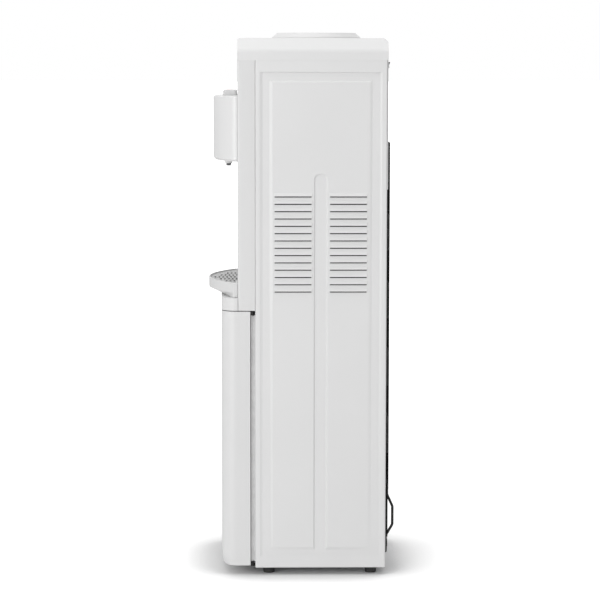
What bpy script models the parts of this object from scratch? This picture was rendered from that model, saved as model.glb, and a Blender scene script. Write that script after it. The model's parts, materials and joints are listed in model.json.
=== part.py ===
"""Top-loading water dispenser: pressed steel cabinet, moulded front, three push taps,
drip tray, storage door, cold and hot tanks and a compressor circuit with a rear condenser.

Metres, +Z up, front faces -Y, the door's hinge is on the +X side.
Depths are measured rearwards from the front plane of the upper fascia.
"""

import math

import bmesh
import bpy
from mathutils import Matrix, Vector

MM = 0.001
OBJECT_NAME = "water_dispenser"

# Driving sizes of the whole
CABINET_WIDTH = 310 * MM
HALF_WIDTH = CABINET_WIDTH / 2
COVER_TOP_Z = 978.6 * MM
TRAY_REACH = 55 * MM
LINE_REACH = 287 * MM
FASCIA_Y = (TRAY_REACH - LINE_REACH) / 2
FIT_GAP = 0.3 * MM
OVERRUN = 5 * MM
MERGE = 0.01 * MM
ROUND_SEGMENTS = 24
MID_SEGMENTS = 20
BORE_SEGMENTS = 16
SMALL_SEGMENTS = 12

# Pressed side panels
PANEL_FRONT = 31.8 * MM
PANEL_REAR = 270 * MM
PANEL_BOTTOM_Z = 13.5 * MM
SHEET = 0.8 * MM
PANEL_RETURN = 12 * MM
FOLD_RADIUS = 2.5 * MM
MOAT_FRONT_MARGIN = 8.7 * MM
MOAT_REAR_MARGIN = 9.7 * MM
MOAT_BOTTOM_MARGIN = 19.9 * MM
MOAT_TOP_MARGIN = 20.7 * MM
MOAT_BAND_Y = 22.7 * MM
MOAT_BAND_Z = 18.3 * MM
MOAT_DEPTH = 2.5 * MM
MOAT_SLOPE = 5 * MM
GROOVE_WIDTH = 25 * MM
GROOVE_ROUND = 8 * MM
GROOVE_SLOPE = 1
GROOVE_DROP = 164 * MM
LOUVRE_ROWS = 14
LOUVRE_PITCH = 13.25 * MM
LOUVRE_DROP = 204.9 * MM
LOUVRE_LENGTH = 69.5 * MM
LOUVRE_TO_GROOVE = 2.8 * MM
LOUVRE_PROUD = 2.8 * MM
LOUVRE_HEIGHT = 6.2 * MM
LOUVRE_END = 1 * MM
LOUVRE_ROOT = 0.2 * MM
LOUVRE_SHEAR = 1.1 * MM

# Top cover and bottle seat
SKIRT_DROP = 39.6 * MM
SKIRT_Z = COVER_TOP_Z - SKIRT_DROP
SHOULDER_DROP = 22.4 * MM
SHOULDER_Z = COVER_TOP_Z - SHOULDER_DROP
COVER_INSET = 15 * MM
COVER_REAR = 271.7 * MM
COVER_WALL = 2.5 * MM
COVER_FRONT_ROUND = 4 * MM
COVER_REAR_ROUND = 9 * MM
TANKS_FRONT_DEPTH = 53.2 * MM
TANKS_REAR_GAP = 32.8 * MM
TANKS_REAR_DEPTH = PANEL_REAR - TANKS_REAR_GAP
BOTTLE_DEPTH = (TANKS_FRONT_DEPTH + TANKS_REAR_DEPTH) / 2
COLLAR_BASE_RADIUS = 82.2 * MM
COLLAR_TOP_RADIUS = 75 * MM
COLLAR_RISE = 10.5 * MM
COLLAR_CROWN = 2 * MM
COLLAR_RIM = 5 * MM
COLLAR_WALL = 2.5 * MM
COLLAR_THROAT_RADIUS = 60 * MM
COLLAR_THROAT_DROP = 17.6 * MM
COLLAR_THROAT_Z = COVER_TOP_Z - COLLAR_THROAT_DROP
COLLAR_FLANGE = 2.5 * MM
WELL_FLANGE = 3 * MM
WELL_NECK_RADIUS = 34 * MM
WELL_NECK_DROP = 49.6 * MM
WELL_NECK_Z = COVER_TOP_Z - WELL_NECK_DROP
WELL_WALL = 2.5 * MM
PROBE_RADIUS = 9 * MM
PROBE_TOP_DROP = 23.6 * MM
PROBE_TOP_Z = COVER_TOP_Z - PROBE_TOP_DROP
PROBE_TIP = 8 * MM
PROBE_BASE_RADIUS = 20 * MM
PROBE_BASE = 3 * MM
PROBE_PORT = 5 * MM

# Upper fascia with the cup alcove
FASCIA_BOTTOM_DROP = 491.3 * MM
FASCIA_BOTTOM_Z = COVER_TOP_Z - FASCIA_BOTTOM_DROP
FASCIA_WALL = 2.5 * MM
FASCIA_ROUND = 4 * MM
FEATURE_DEPTH = 24 * MM
FEATURE_CUT = 0.8 * MM
ALCOVE_INSET = 39 * MM
ALCOVE_HALF_WIDTH = HALF_WIDTH - ALCOVE_INSET
ALCOVE_BACK = 45 * MM
ALCOVE_ROUND = 14 * MM
CHIN_TOP_DROP = 468.6 * MM
CHIN_TOP_Z = COVER_TOP_Z - CHIN_TOP_DROP
CHIN_SEAM = 1.6 * MM
CHIN_SEAM_CUT = 1.4 * MM
INLET_CLEARANCE = 0.4 * MM

# Tap housing
HOUSING_INSET = 20 * MM
HOUSING_HALF_WIDTH = HALF_WIDTH - HOUSING_INSET
HOUSING_REACH = 46 * MM
HOUSING_SIDE = 8 * MM
HOUSING_BOTTOM_DROP = 222.6 * MM
HOUSING_BOTTOM_Z = COVER_TOP_Z - HOUSING_BOTTOM_DROP
HOUSING_TOP_DROP = 103.6 * MM
HOUSING_TOP_Z = COVER_TOP_Z - HOUSING_TOP_DROP
HOUSING_WALL = 2.5 * MM
HOUSING_ROUND = 4 * MM

# Taps, buttons and springs
TAP_PITCH = 58 * MM
TAP_DEPTH_AHEAD = 17 * MM
TAP_BODY_RADIUS = 12 * MM
TAP_BODY_TOP_DROP = 129.6 * MM
TAP_BODY_TOP_Z = COVER_TOP_Z - TAP_BODY_TOP_DROP
TAP_BODY_BOTTOM_DROP = 194.6 * MM
TAP_BODY_BOTTOM_Z = COVER_TOP_Z - TAP_BODY_BOTTOM_DROP
SPOUT_RADIUS = 8.5 * MM
SPOUT_TIP_DROP = 232.6 * MM
SPOUT_TIP_Z = COVER_TOP_Z - SPOUT_TIP_DROP
SPOUT_BORE = 4.5 * MM
SPOUT_BORE_DEPTH = 18 * MM
SPOUT_CLEARANCE = 1 * MM
INLET_RADIUS = 6 * MM
INLET_DROP = 170.6 * MM
INLET_Z = COVER_TOP_Z - INLET_DROP
INLET_BACK = 22 * MM
BUTTON_WIDTH = 42 * MM
BUTTON_FRONT_AHEAD = 27 * MM
BUTTON_BACK_AHEAD = 3 * MM
BUTTON_TOP_DROP = 94.6 * MM
BUTTON_TOP_Z = COVER_TOP_Z - BUTTON_TOP_DROP
BUTTON_SKIRT_DROP = 115.6 * MM
BUTTON_SKIRT_Z = COVER_TOP_Z - BUTTON_SKIRT_DROP
BUTTON_ROUND = 2 * MM
BUTTON_CLEARANCE = 0.5 * MM
BUTTON_LIP = 1.6 * MM
BUTTON_LIP_HEIGHT = 2.5 * MM
BUTTON_TRAVEL = 5 * MM
STEM_RADIUS = 3 * MM
STEM_LENGTH = 22 * MM
STEM_CLEARANCE = 0.4 * MM
SPRING_RADIUS = 6 * MM
SPRING_WIRE = 0.6 * MM
SPRING_TURNS = 4
SPRING_STEPS = 7
LOCK_WIDTH = 14 * MM
LOCK_LENGTH = 9 * MM
LOCK_DEPTH = 3 * MM
LOCK_TRAVEL = 4 * MM

# Indicator lamps
LAMP_DROP = 68.6 * MM
LAMP_Z = COVER_TOP_Z - LAMP_DROP
LAMP_PITCH = 22 * MM
LAMP_RADIUS = 3 * MM
LAMP_PROUD = 0.8 * MM
LAMP_LENGTH = 6 * MM

# Drip tray and grille
TRAY_INSET = 10 * MM
TRAY_HALF_WIDTH = HALF_WIDTH - TRAY_INSET
TRAY_SIDE = 8 * MM
TRAY_RIM_DROP = 441.6 * MM
TRAY_RIM_Z = COVER_TOP_Z - TRAY_RIM_DROP
TRAY_LIP_DROP = 459.6 * MM
TRAY_LIP_Z = COVER_TOP_Z - TRAY_LIP_DROP
TRAY_WALL = 2.5 * MM
TRAY_FLOOR = 2.5 * MM
TRAY_SIDE_CLEARANCE = 1 * MM
TRAY_BACK_CLEARANCE = 1 * MM
GRILLE_THICKNESS = 2.4 * MM
GRILLE_DROP = 2.5 * MM
GRILLE_BORDER = 7 * MM
GRILLE_SLOT = 3.6 * MM
GRILLE_PITCH = 8 * MM
GRILLE_STAGGER = 2.5 * MM
GRILLE_BAR = 6 * MM
GRILLE_BANKS = 4
GRILLE_SIDE = 44 * MM
GRILLE_SPAN = 2 * (TRAY_HALF_WIDTH - GRILLE_SIDE)
GRILLE_SLOT_LENGTH = (GRILLE_SPAN - (GRILLE_BANKS - 1) * GRILLE_BAR) / GRILLE_BANKS
GRILLE_LEG = 6 * MM
GRILLE_LEG_FROM_REAR = 45 * MM

# Storage door
DOOR_BOTTOM_Z = 17.4 * MM
DOOR_TOP_DROP = 492.9 * MM
DOOR_TOP_Z = COVER_TOP_Z - DOOR_TOP_DROP
DOOR_BOW = 31.2 * MM
DOOR_CROWN = 2 * MM
DOOR_CORNER = 27 * MM
DOOR_BACK = 23 * MM
DOOR_SIDE_GAP = 0.3 * MM
DOOR_WALL = 2.5 * MM
DOOR_TOE_HEIGHT = 22 * MM
DOOR_TOE_DEPTH = 7 * MM
DOOR_TOE_STEPS = 4
BOW_SEGMENTS = 16
CORNER_SEGMENTS = 8
CROWN_SEGMENTS = 6
LINER_PANEL = 2.2 * MM
LINER_RIB = 1.5 * MM
LINER_RIB_HEIGHT = 10 * MM
LINER_RIBS = 4
LINER_RIB_SHARE = 0.75
PULL_BOTTOM_DROP = 591.6 * MM
PULL_BOTTOM_Z = COVER_TOP_Z - PULL_BOTTOM_DROP
PULL_TOP_DROP = 510.6 * MM
PULL_TOP_Z = COVER_TOP_Z - PULL_TOP_DROP
PULL_FRONT = -5 * MM
PULL_BACK = 15 * MM
PULL_DEPTH = 19 * MM

# Door hinges and catch
HINGE_SIDE_INSET = 4 * MM
HINGE_DEPTH = 26.2 * MM
HINGE_PIN_RADIUS = 1.3 * MM
HINGE_CLEARANCE = 0.3 * MM
KNUCKLE_RADIUS = HINGE_DEPTH - DOOR_BACK - FIT_GAP
KNUCKLE_HEIGHT = 6.5 * MM
KNUCKLE_LEAF = 14 * MM
KNUCKLE_LEAF_THICKNESS = 1.2 * MM
BRACKET_SHEET = 1 * MM
BRACKET_WIDTH = 22 * MM
CATCH_Z = 250 * MM
CATCH_HEIGHT = 44 * MM
CATCH_WIDTH = 10 * MM
STRIKE_SHEET = 1 * MM

# Storage compartment
CABINET_LINER_WALL = 2 * MM
CABINET_LINER_INSET = 15 * MM
CABINET_LINER_HALF_WIDTH = HALF_WIDTH - CABINET_LINER_INSET
CABINET_FLANGE_INSET = 4 * MM
CABINET_FLANGE_HALF_WIDTH = HALF_WIDTH - CABINET_FLANGE_INSET
CABINET_LINER_TOP_DROP = 496.6 * MM
CABINET_LINER_TOP_Z = COVER_TOP_Z - CABINET_LINER_TOP_DROP
CABINET_STEP_Z = 213 * MM
CABINET_LOW_BACK = 132 * MM
CABINET_HIGH_BACK = 226 * MM

# Base pan and feet
PAN_Z = 14.8 * MM
PAN_SHEET = 1.2 * MM
PAN_LIP = 11 * MM
PAN_REAR_LIP = 48 * MM
CABINET_LINER_BOTTOM_Z = PAN_Z + PAN_LIP + FIT_GAP
FOOT_RADIUS = 12 * MM
FOOT_TOP_RADIUS = 10 * MM
FOOT_SIDE = 25 * MM
FOOT_FRONT_DEPTH = 56.5 * MM
FOOT_REAR_DEPTH = 244 * MM
FOOT_STUD_RADIUS = 4 * MM
FOOT_STUD = 6 * MM

# Rear covers
UPPER_COVER_BOTTOM_DROP = 271.6 * MM
UPPER_COVER_BOTTOM_Z = COVER_TOP_Z - UPPER_COVER_BOTTOM_DROP
UPPER_COVER_SIDE = 1 * MM
UPPER_COVER_RIM = 1.2 * MM
UPPER_COVER_PLATE = 2.4 * MM
UPPER_COVER_LAP = 0.4 * MM
UPPER_COVER_SEAM = 1.5 * MM
UPPER_COVER_HEAD = 25 * MM
BACK_SHEET_BOTTOM_Z = 213 * MM
BACK_VENT_ROWS = 6
BACK_VENT_PITCH = 16 * MM
BACK_VENT_HEIGHT = 5 * MM
BACK_VENT_WIDTH = 120 * MM
BACK_VENT_TOP_DROP = 321.6 * MM
BACK_VENT_TOP_Z = COVER_TOP_Z - BACK_VENT_TOP_DROP

# Rear rocker switches
ROCKER_DROP = 48 * MM
ROCKER_Z = COVER_TOP_Z - ROCKER_DROP
ROCKER_INSET = 43 * MM
ROCKER_X = HALF_WIDTH - ROCKER_INSET
ROCKER_PITCH = 30 * MM
ROCKER_WIDTH = 15 * MM
ROCKER_HALF_HEIGHT = 5.5 * MM
ROCKER_CLEARANCE = 0.8 * MM
ROCKER_PROUD = 2.4 * MM
ROCKER_BELLY = 4 * MM
ROCKER_TILT = math.radians(9)

# Condenser on the rear
TUBE_RADIUS = 2.4 * MM
CONDENSER_STANDOFF = 4.5 * MM
CONDENSER_DEPTH = PANEL_REAR + CONDENSER_STANDOFF
CONDENSER_INSET = 33 * MM
CONDENSER_HALF_WIDTH = HALF_WIDTH - CONDENSER_INSET
CONDENSER_TOP_DROP = 196.6 * MM
CONDENSER_TOP_Z = COVER_TOP_Z - CONDENSER_TOP_DROP
CONDENSER_PASSES = 11
CONDENSER_BOTTOM_Z = 158 * MM
CONDENSER_PITCH = (CONDENSER_TOP_Z - CONDENSER_BOTTOM_Z) / (CONDENSER_PASSES - 1)
CONDENSER_BEND = 18 * MM
CONDENSER_TAIL = 10 * MM
CONDENSER_RETURN_INSET = 18 * MM
CONDENSER_RETURN_X = HALF_WIDTH - CONDENSER_RETURN_INSET
WIRE_RADIUS = 0.8 * MM
WIRE_LAP = 1 * MM
WIRE_COUNT = 9
WIRE_INSET = 14 * MM
WIRE_PITCH = 2 * (CONDENSER_HALF_WIDTH - WIRE_INSET) / (WIRE_COUNT - 1)
WIRE_END = 8 * MM
TAB_PASSES = (2, 8)
TAB_HEIGHT = 16 * MM
TAB_LAP = 3 * MM
TAB_EDGE = 4 * MM

# Compressor and refrigerant lines
COMPRESSOR_DEPTH = 199 * MM
COMPRESSOR_RADIUS = 56 * MM
COMPRESSOR_BOTTOM_Z = 33.8 * MM
COMPRESSOR_TOP_Z = 172.8 * MM
COMPRESSOR_SEAM_Z = 108.8 * MM
COMPRESSOR_SEAM = 3.5 * MM
COMPRESSOR_SEAM_HEIGHT = 5 * MM
COMPRESSOR_DOME = 26 * MM
PLATE_INSET = 67 * MM
PLATE_HALF_WIDTH = HALF_WIDTH - PLATE_INSET
PLATE_HALF_DEPTH = 46 * MM
PLATE_SHEET = 2.5 * MM
PLATE_Z = 32.3 * MM
GROMMET_RADIUS = 9 * MM
GROMMET_INSET = 14 * MM
TERMINAL_WIDTH = 44 * MM
TERMINAL_HEIGHT = 50 * MM
TERMINAL_REACH = 20 * MM
TERMINAL_Z = 66.8 * MM
STUB_RADIUS = 3.2 * MM
STUB_LENGTH = 9 * MM
LINE_Z = 79.8 * MM
LINE_RUN_INSET = 60 * MM
LINE_RUN_X = HALF_WIDTH - LINE_RUN_INSET
LINE_DROP_INSET = 51 * MM
LINE_DROP_X = HALF_WIDTH - LINE_DROP_INSET
LINE_DROP_GAP = 2.3 * MM
LINE_DROP_DEPTH = PANEL_REAR + LINE_DROP_GAP
LINE_OVER_Z = 73 * MM
LINE_LOW_Z = 34.5 * MM
LINE_BEND = 9 * MM
BOW_START_Z = 143 * MM
BOW_TOP_Z = 121 * MM
BOW_BOTTOM_Z = 87 * MM
BOW_FOOT_Z = 66 * MM
DRIER_INSET = 43 * MM
DRIER_X = DRIER_INSET - HALF_WIDTH
DRIER_DEPTH = 250 * MM
DRIER_RADIUS = 9.5 * MM
DRIER_BOTTOM_Z = 70.8 * MM
DRIER_TOP_Z = 140.8 * MM
DRIER_NECK = 14 * MM
DRIER_RISE = 14 * MM
SUCTION_RADIUS = 3 * MM
SUCTION_INSET = 59 * MM
SUCTION_X = SUCTION_INSET - HALF_WIDTH
SUCTION_DEPTH = 246 * MM
SUCTION_STUB_X = -20 * MM
SUCTION_HIGH_DROP = 321.6 * MM
SUCTION_HIGH_Z = COVER_TOP_Z - SUCTION_HIGH_DROP
SUCTION_LOW_Z = 203 * MM
SUCTION_BEND = 16 * MM

# Tanks, their shelf and hoses
SHELF_DROP = 271.6 * MM
SHELF_Z = COVER_TOP_Z - SHELF_DROP
SHELF_SHEET = 1.2 * MM
SHELF_LIP = 12 * MM
SHELF_FRONT = 52 * MM
SHELF_SIDE_GAP = 0.8 * MM
FOAM_RADIUS = (TANKS_REAR_DEPTH - TANKS_FRONT_DEPTH) / 2
FOAM_FLOOR = 12 * MM
TANK_WALL = 1.5 * MM
FOAM_WALL = 24 * MM
COLD_RADIUS = FOAM_RADIUS - FOAM_WALL
COLD_BOTTOM_Z = SHELF_Z + SHELF_SHEET + FOAM_FLOOR + FIT_GAP * 2
COLD_TOP_DROP = 95.6 * MM
COLD_TOP_Z = COVER_TOP_Z - COLD_TOP_DROP
COLD_DOME = 8 * MM
COIL_RADIUS = 3 * MM
COIL_TURNS = 4
COIL_PITCH = 19 * MM
COIL_STEPS = 12
COIL_LOW = 25 * MM
HOT_RADIUS = 50 * MM
HOT_HEIGHT = 150 * MM
HOT_DEPTH = 132 * MM
HOT_DOME = 12 * MM
HOT_BAND = 2.5 * MM
HOT_BAND_LOW = 30 * MM
HOT_BAND_HEIGHT = 26 * MM
HOSE_RADIUS = 4.5 * MM
HOSE_BORE = 3 * MM
HOSE_BEND = 14 * MM
HOSE_PORT = 0.8 * MM
HOSE_SIDE_INSET = 43 * MM
HOSE_SIDE_X = HOSE_SIDE_INSET - HALF_WIDTH
HOSE_SIDE_DEPTH = 112 * MM
HOSE_FRONT_DEPTH = 38 * MM
HOSE_RISE_DEPTH = 59 * MM
HOSE_RISE_DROP = 199.6 * MM
HOSE_RISE_Z = COVER_TOP_Z - HOSE_RISE_DROP
COLD_OUTLET_RISE = 12 * MM
ROOM_OUTLET_DROP = 34 * MM
HOT_OUTLET_RISE = 118 * MM
DRAIN_OUTLET_RISE = 14 * MM
DRAIN_SIDE_INSET = 43 * MM
DRAIN_SIDE_X = HALF_WIDTH - DRAIN_SIDE_INSET
DRAIN_HOSE_DEPTH = 246 * MM

# Rear services
DRAIN_X = 66 * MM
DRAIN_Z = 40.8 * MM
DRAIN_RADIUS = 7 * MM
DRAIN_BORE = 4 * MM
DRAIN_REACH = 5 * MM
PLUG_RADIUS = 8 * MM
PLUG_HEAD = 4 * MM
PLUG_SHANK = 8 * MM
PLUG_CLEARANCE = 0.4 * MM
GLAND_INSET = 43 * MM
GLAND_X = GLAND_INSET - HALF_WIDTH
GLAND_Z = 42.8 * MM
GLAND_RADIUS = 8 * MM
GLAND_BORE = 3.5 * MM
GLAND_HEAD = 4 * MM
GLAND_NECK = 6 * MM

# Linear base colour, roughness, metallic
MATERIALS = {
    "white_steel": ((0.80, 0.80, 0.80), 0.38, 0.0),
    "white_plastic": ((0.84, 0.84, 0.84), 0.42, 0.0),
    "grey_plastic": ((0.50, 0.50, 0.50), 0.45, 0.0),
    "black_plastic": ((0.02, 0.02, 0.02), 0.45, 0.0),
    "black_steel": ((0.015, 0.015, 0.015), 0.40, 0.3),
    "zinc_steel": ((0.55, 0.56, 0.57), 0.35, 0.9),
    "stainless": ((0.62, 0.62, 0.62), 0.25, 1.0),
    "copper": ((0.72, 0.36, 0.20), 0.30, 1.0),
    "rubber": ((0.03, 0.03, 0.03), 0.80, 0.0),
    "foam": ((0.88, 0.88, 0.86), 0.90, 0.0),
    "silicone": ((0.75, 0.75, 0.72), 0.50, 0.0),
    "red_plastic": ((0.60, 0.03, 0.02), 0.35, 0.0),
    "blue_plastic": ((0.03, 0.12, 0.55), 0.35, 0.0),
    "green_plastic": ((0.05, 0.45, 0.08), 0.35, 0.0),
}


# Scene helpers


def clear_scene():
    for obj in list(bpy.data.objects):
        bpy.data.objects.remove(obj)


def make_collection(name):
    collection = bpy.data.collections.new(name)
    bpy.context.scene.collection.children.link(collection)
    return collection


def make_material(name):
    """A Principled material for one sub-part, from the table above."""
    colour, roughness, metallic = MATERIALS[name]
    material = bpy.data.materials.new(name)
    material.use_nodes = True
    shader = material.node_tree.nodes["Principled BSDF"]
    shader.inputs["Base Color"].default_value = (*colour, 1)
    shader.inputs["Roughness"].default_value = roughness
    shader.inputs["Metallic"].default_value = metallic
    material.diffuse_color = (*colour, 1)
    return material


def new_object(name, data, material):
    obj = bpy.data.objects.new(name, data)
    PARTS.objects.link(obj)
    if material:
        data.materials.append(make_material(material))
    return obj


def as_helper(obj):
    """Moves an object to the cutters: it shapes others and isn't a piece."""
    PARTS.objects.unlink(obj)
    CUTTERS.objects.link(obj)
    obj.hide_render = True
    obj.display_type = "WIRE"


def combine(target, other, operation):
    modifier = target.modifiers.new(f"{operation} {other.name}"[:58], "BOOLEAN")
    modifier.operation = operation
    modifier.solver = "EXACT"
    modifier.object = other
    as_helper(other)


def cut(target, *cutters):
    for cutter in cutters:
        combine(target, cutter, "DIFFERENCE")


def fuse(target, *others):
    for other in others:
        combine(target, other, "UNION")


def evaluated_mesh(obj):
    bpy.context.view_layer.update()
    graph = bpy.context.evaluated_depsgraph_get()
    return bpy.data.meshes.new_from_object(obj.evaluated_get(graph))


def bake(obj):
    """Replaces an object's mesh by the result of its modifiers."""
    mesh = evaluated_mesh(obj)
    obj.modifiers.clear()
    obj.data = mesh
    return obj


def edit(obj, work):
    """Runs work on the object's mesh as a bmesh."""
    bm = bmesh.new()
    bm.from_mesh(obj.data)
    work(bm)
    bm.to_mesh(obj.data)
    bm.free()
    return obj


def smooth(obj, angle=math.radians(35)):
    obj.data.shade_smooth()
    obj.data.set_sharp_from_angle(angle=angle)
    return obj


def carry(parent, *objects):
    """Hangs objects on an empty, with their origins on it."""
    for obj in objects:
        obj.data.transform(Matrix.Translation(-parent.location) @ obj.matrix_basis)
        obj.matrix_basis = Matrix.Identity(4)
        obj.parent = parent


def empty(name, location):
    obj = bpy.data.objects.new(name, None)
    obj.location = location
    PARTS.objects.link(obj)
    return obj


def at(depth):
    """World Y of a depth behind the fascia's front plane."""
    return FASCIA_Y + depth


# Shape helpers


def box(name, material, x, y, z):
    """A box between the low and high values of each axis."""
    low = Vector((x[0], y[0], z[0]))
    size = Vector((x[1], y[1], z[1])) - low
    mesh = bpy.data.meshes.new(name)
    bm = bmesh.new()
    bmesh.ops.create_cube(bm, size=1)
    for vert in bm.verts:
        corner = vert.co + Vector((1, 1, 1)) / 2
        vert.co = low + Vector(c * s for c, s in zip(corner, size))
    bm.to_mesh(mesh)
    bm.free()
    return new_object(name, mesh, material)


def rod(name, material, start, end, radius, segments=ROUND_SEGMENTS, end_radius=None):
    """A cylinder or cone between two points."""
    start, end = Vector(start), Vector(end)
    along = end - start
    mesh = bpy.data.meshes.new(name)
    bm = bmesh.new()
    bmesh.ops.create_cone(
        bm,
        cap_ends=True,
        segments=segments,
        radius1=radius,
        radius2=radius if end_radius is None else end_radius,
        depth=along.length,
    )
    turn = Vector((0, 0, 1)).rotation_difference(along).to_matrix().to_4x4()
    bm.transform(Matrix.Translation((start + end) / 2) @ turn)
    bm.to_mesh(mesh)
    bm.free()
    return smooth(new_object(name, mesh, material))


def clear_of(radius, gap, segments=ROUND_SEGMENTS):
    """Corner radius of a faceted bore whose flats still clear a round by gap."""
    return (radius + gap) / math.cos(math.pi / segments)


def turned(name, material, profile, x, y, segments=ROUND_SEGMENTS, closed=True):
    """A profile of (radius, z) swept round a vertical axis. It runs down the outer side."""
    mesh = bpy.data.meshes.new(name)
    bm = bmesh.new()
    verts = [bm.verts.new((radius, 0, z)) for radius, z in profile]
    pairs = list(zip(verts, verts[1:]))
    if closed:
        pairs.append((verts[-1], verts[0]))
    for first, second in pairs:
        bm.edges.new((first, second))
    bm.to_mesh(mesh)
    bm.free()
    obj = new_object(name, mesh, material)
    obj.location = (x, y, 0)
    screw = obj.modifiers.new("turn", "SCREW")
    screw.steps = screw.render_steps = segments
    screw.use_merge_vertices = True
    screw.merge_threshold = MERGE
    screw.use_smooth_shade = True
    return obj


def plate(name, material, outline, axis, low, high, holes=()):
    """A flat outline, with any holes, given thickness along one axis from low to high.

    The outline is (x, y) for axis Z, (y, z) for axis X and (x, z) for axis Y.
    """
    curve = bpy.data.curves.new(name, "CURVE")
    curve.dimensions = "2D"
    curve.fill_mode = "BOTH"
    curve.extrude = (high - low) / 2
    for loop in (outline, *holes):
        spline = curve.splines.new("POLY")
        spline.points.add(len(loop) - 1)
        for point, (u, v) in zip(spline.points, loop):
            point.co = (u, v, 0, 1)
        spline.use_cyclic_u = True
    flat = new_object(name + "_outline", curve, None)
    mesh = evaluated_mesh(flat)
    bpy.data.objects.remove(flat)
    bm = bmesh.new()
    bm.from_mesh(mesh)
    bmesh.ops.remove_doubles(bm, verts=bm.verts, dist=MERGE)
    turns = {
        "Z": Matrix(((1, 0, 0), (0, 1, 0), (0, 0, 1))),
        "X": Matrix(((0, 0, 1), (1, 0, 0), (0, 1, 0))),
        "Y": Matrix(((1, 0, 0), (0, 0, -1), (0, 1, 0))),
    }
    middle = (low + high) / 2
    shift = {"Z": (0, 0, middle), "X": (middle, 0, 0), "Y": (0, middle, 0)}
    bm.transform(Matrix.Translation(shift[axis]) @ turns[axis].to_4x4())
    bmesh.ops.recalc_face_normals(bm, faces=bm.faces)
    bm.to_mesh(mesh)
    bm.free()
    return new_object(name, mesh, material)


def loft(name, material, rings):
    """A closed body through rings of equally many points, with flat ends."""
    mesh = bpy.data.meshes.new(name)
    bm = bmesh.new()
    rows = [[bm.verts.new(point) for point in ring] for ring in rings]
    count = len(rows[0])
    for lower, upper in zip(rows, rows[1:]):
        for i in range(count):
            j = (i + 1) % count
            bm.faces.new((lower[i], lower[j], upper[j], upper[i]))
    bm.faces.new(reversed(rows[0]))
    bm.faces.new(rows[-1])
    bmesh.ops.recalc_face_normals(bm, faces=bm.faces)
    bm.to_mesh(mesh)
    bm.free()
    return new_object(name, mesh, material)


def tube(name, material, points, radius, resolution=1):
    """A round tube along a line of points, made a mesh with its caps welded."""
    curve = bpy.data.curves.new(name, "CURVE")
    curve.dimensions = "3D"
    curve.bevel_depth = radius
    curve.bevel_resolution = resolution
    curve.use_fill_caps = True
    spline = curve.splines.new("POLY")
    spline.points.add(len(points) - 1)
    for point, place in zip(spline.points, points):
        point.co = (*place, 1)
    guide = new_object(name + "_path", curve, None)
    mesh = evaluated_mesh(guide)
    bpy.data.objects.remove(guide)
    obj = new_object(name, mesh, material)
    edit(obj, lambda bm: bmesh.ops.remove_doubles(bm, verts=bm.verts, dist=MERGE))
    return smooth(obj, math.radians(50))


def bent(corners, radius, steps=4):
    """Points of a path through corners, each corner rounded to a bend radius."""
    corners = [Vector(corner) for corner in corners]
    points = [corners[0]]
    for before, corner, after in zip(corners, corners[1:], corners[2:]):
        back = (before - corner).normalized()
        on = (after - corner).normalized()
        half = back.angle(on) / 2
        reach = min(
            radius / math.tan(half),
            (before - corner).length / 2,
            (after - corner).length / 2,
        )
        start, end = corner + back * reach, corner + on * reach
        for step in range(steps + 1):
            t = step / steps
            points.append(start * (1 - t) ** 2 + corner * 2 * t * (1 - t) + end * t**2)
    points.append(corners[-1])
    return points


def round_edges(obj, radius, segments, wanted):
    """Bevels the edges whose two ends satisfy wanted."""

    def work(bm):
        edges = [e for e in bm.edges if wanted(e.verts[0].co, e.verts[1].co)]
        bmesh.ops.bevel(
            bm, geom=edges, offset=radius, segments=segments, profile=0.5, affect="EDGES"
        )

    return edit(obj, work)


def runs_along(axis):
    """A test for edges parallel to an axis."""
    index = "XYZ".index(axis)
    others = [i for i in range(3) if i != index]
    return lambda a, b: all(abs(a[i] - b[i]) < MERGE for i in others)


def bow_radius(half_width, rise):
    """Radius of the arc that rises this much over a chord of twice half_width."""
    return (half_width**2 + rise**2) / (2 * rise)


def bowed_outline(half_width, side, back, reach, inset=0, segments=BOW_SEGMENTS):
    """Plan outline of a front that bows out in one arc between two straight sides.

    side is how far ahead of the fascia plane the arc starts, reach how far its middle
    comes, back the depth of the flat rear. inset draws all but the rear inwards.
    """
    radius = bow_radius(half_width, reach - side)
    centre = at(-reach) + radius
    drawn = radius - inset
    width = half_width - inset
    swing = math.asin(width / drawn)
    points = [(width, at(back)), (-width, at(back))]
    for step in range(segments + 1):
        angle = -swing + 2 * swing * step / segments
        points.append((drawn * math.sin(angle), centre - drawn * math.cos(angle)))
    return points


def rounded_front(reach, back, inset=0):
    """Plan outline of the door's front: slightly crowned, with large rounded corners.

    reach is how far its middle comes ahead of the fascia plane, back the depth of the
    flat rear. inset draws all but the rear inwards.
    """
    half = HALF_WIDTH - DOOR_SIDE_GAP - inset
    flat = HALF_WIDTH - DOOR_SIDE_GAP - DOOR_CORNER
    drawn = reach - inset
    depth = drawn - DOOR_CROWN - DOOR_WALL
    radius = bow_radius(flat, DOOR_CROWN)
    corner = []
    for step in range(CORNER_SEGMENTS + 1):
        angle = math.pi / 2 * step / CORNER_SEGMENTS
        x = flat + (half - flat) * math.cos(angle)
        corner.append((x, at(-DOOR_WALL) - depth * math.sin(angle)))
    crown = []
    for step in range(1, CROWN_SEGMENTS):
        x = -flat + 2 * flat * step / CROWN_SEGMENTS
        crown.append((x, at(-drawn) + radius - math.sqrt(radius**2 - x**2)))
    left = [(-x, y) for x, y in corner]
    return [(half, at(back)), (-half, at(back))] + left + crown + corner[::-1]


# Cabinet


def grown(span, by):
    """A span of two ends made longer by the same amount at both."""
    return (span[0] - by, span[1] + by)


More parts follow.
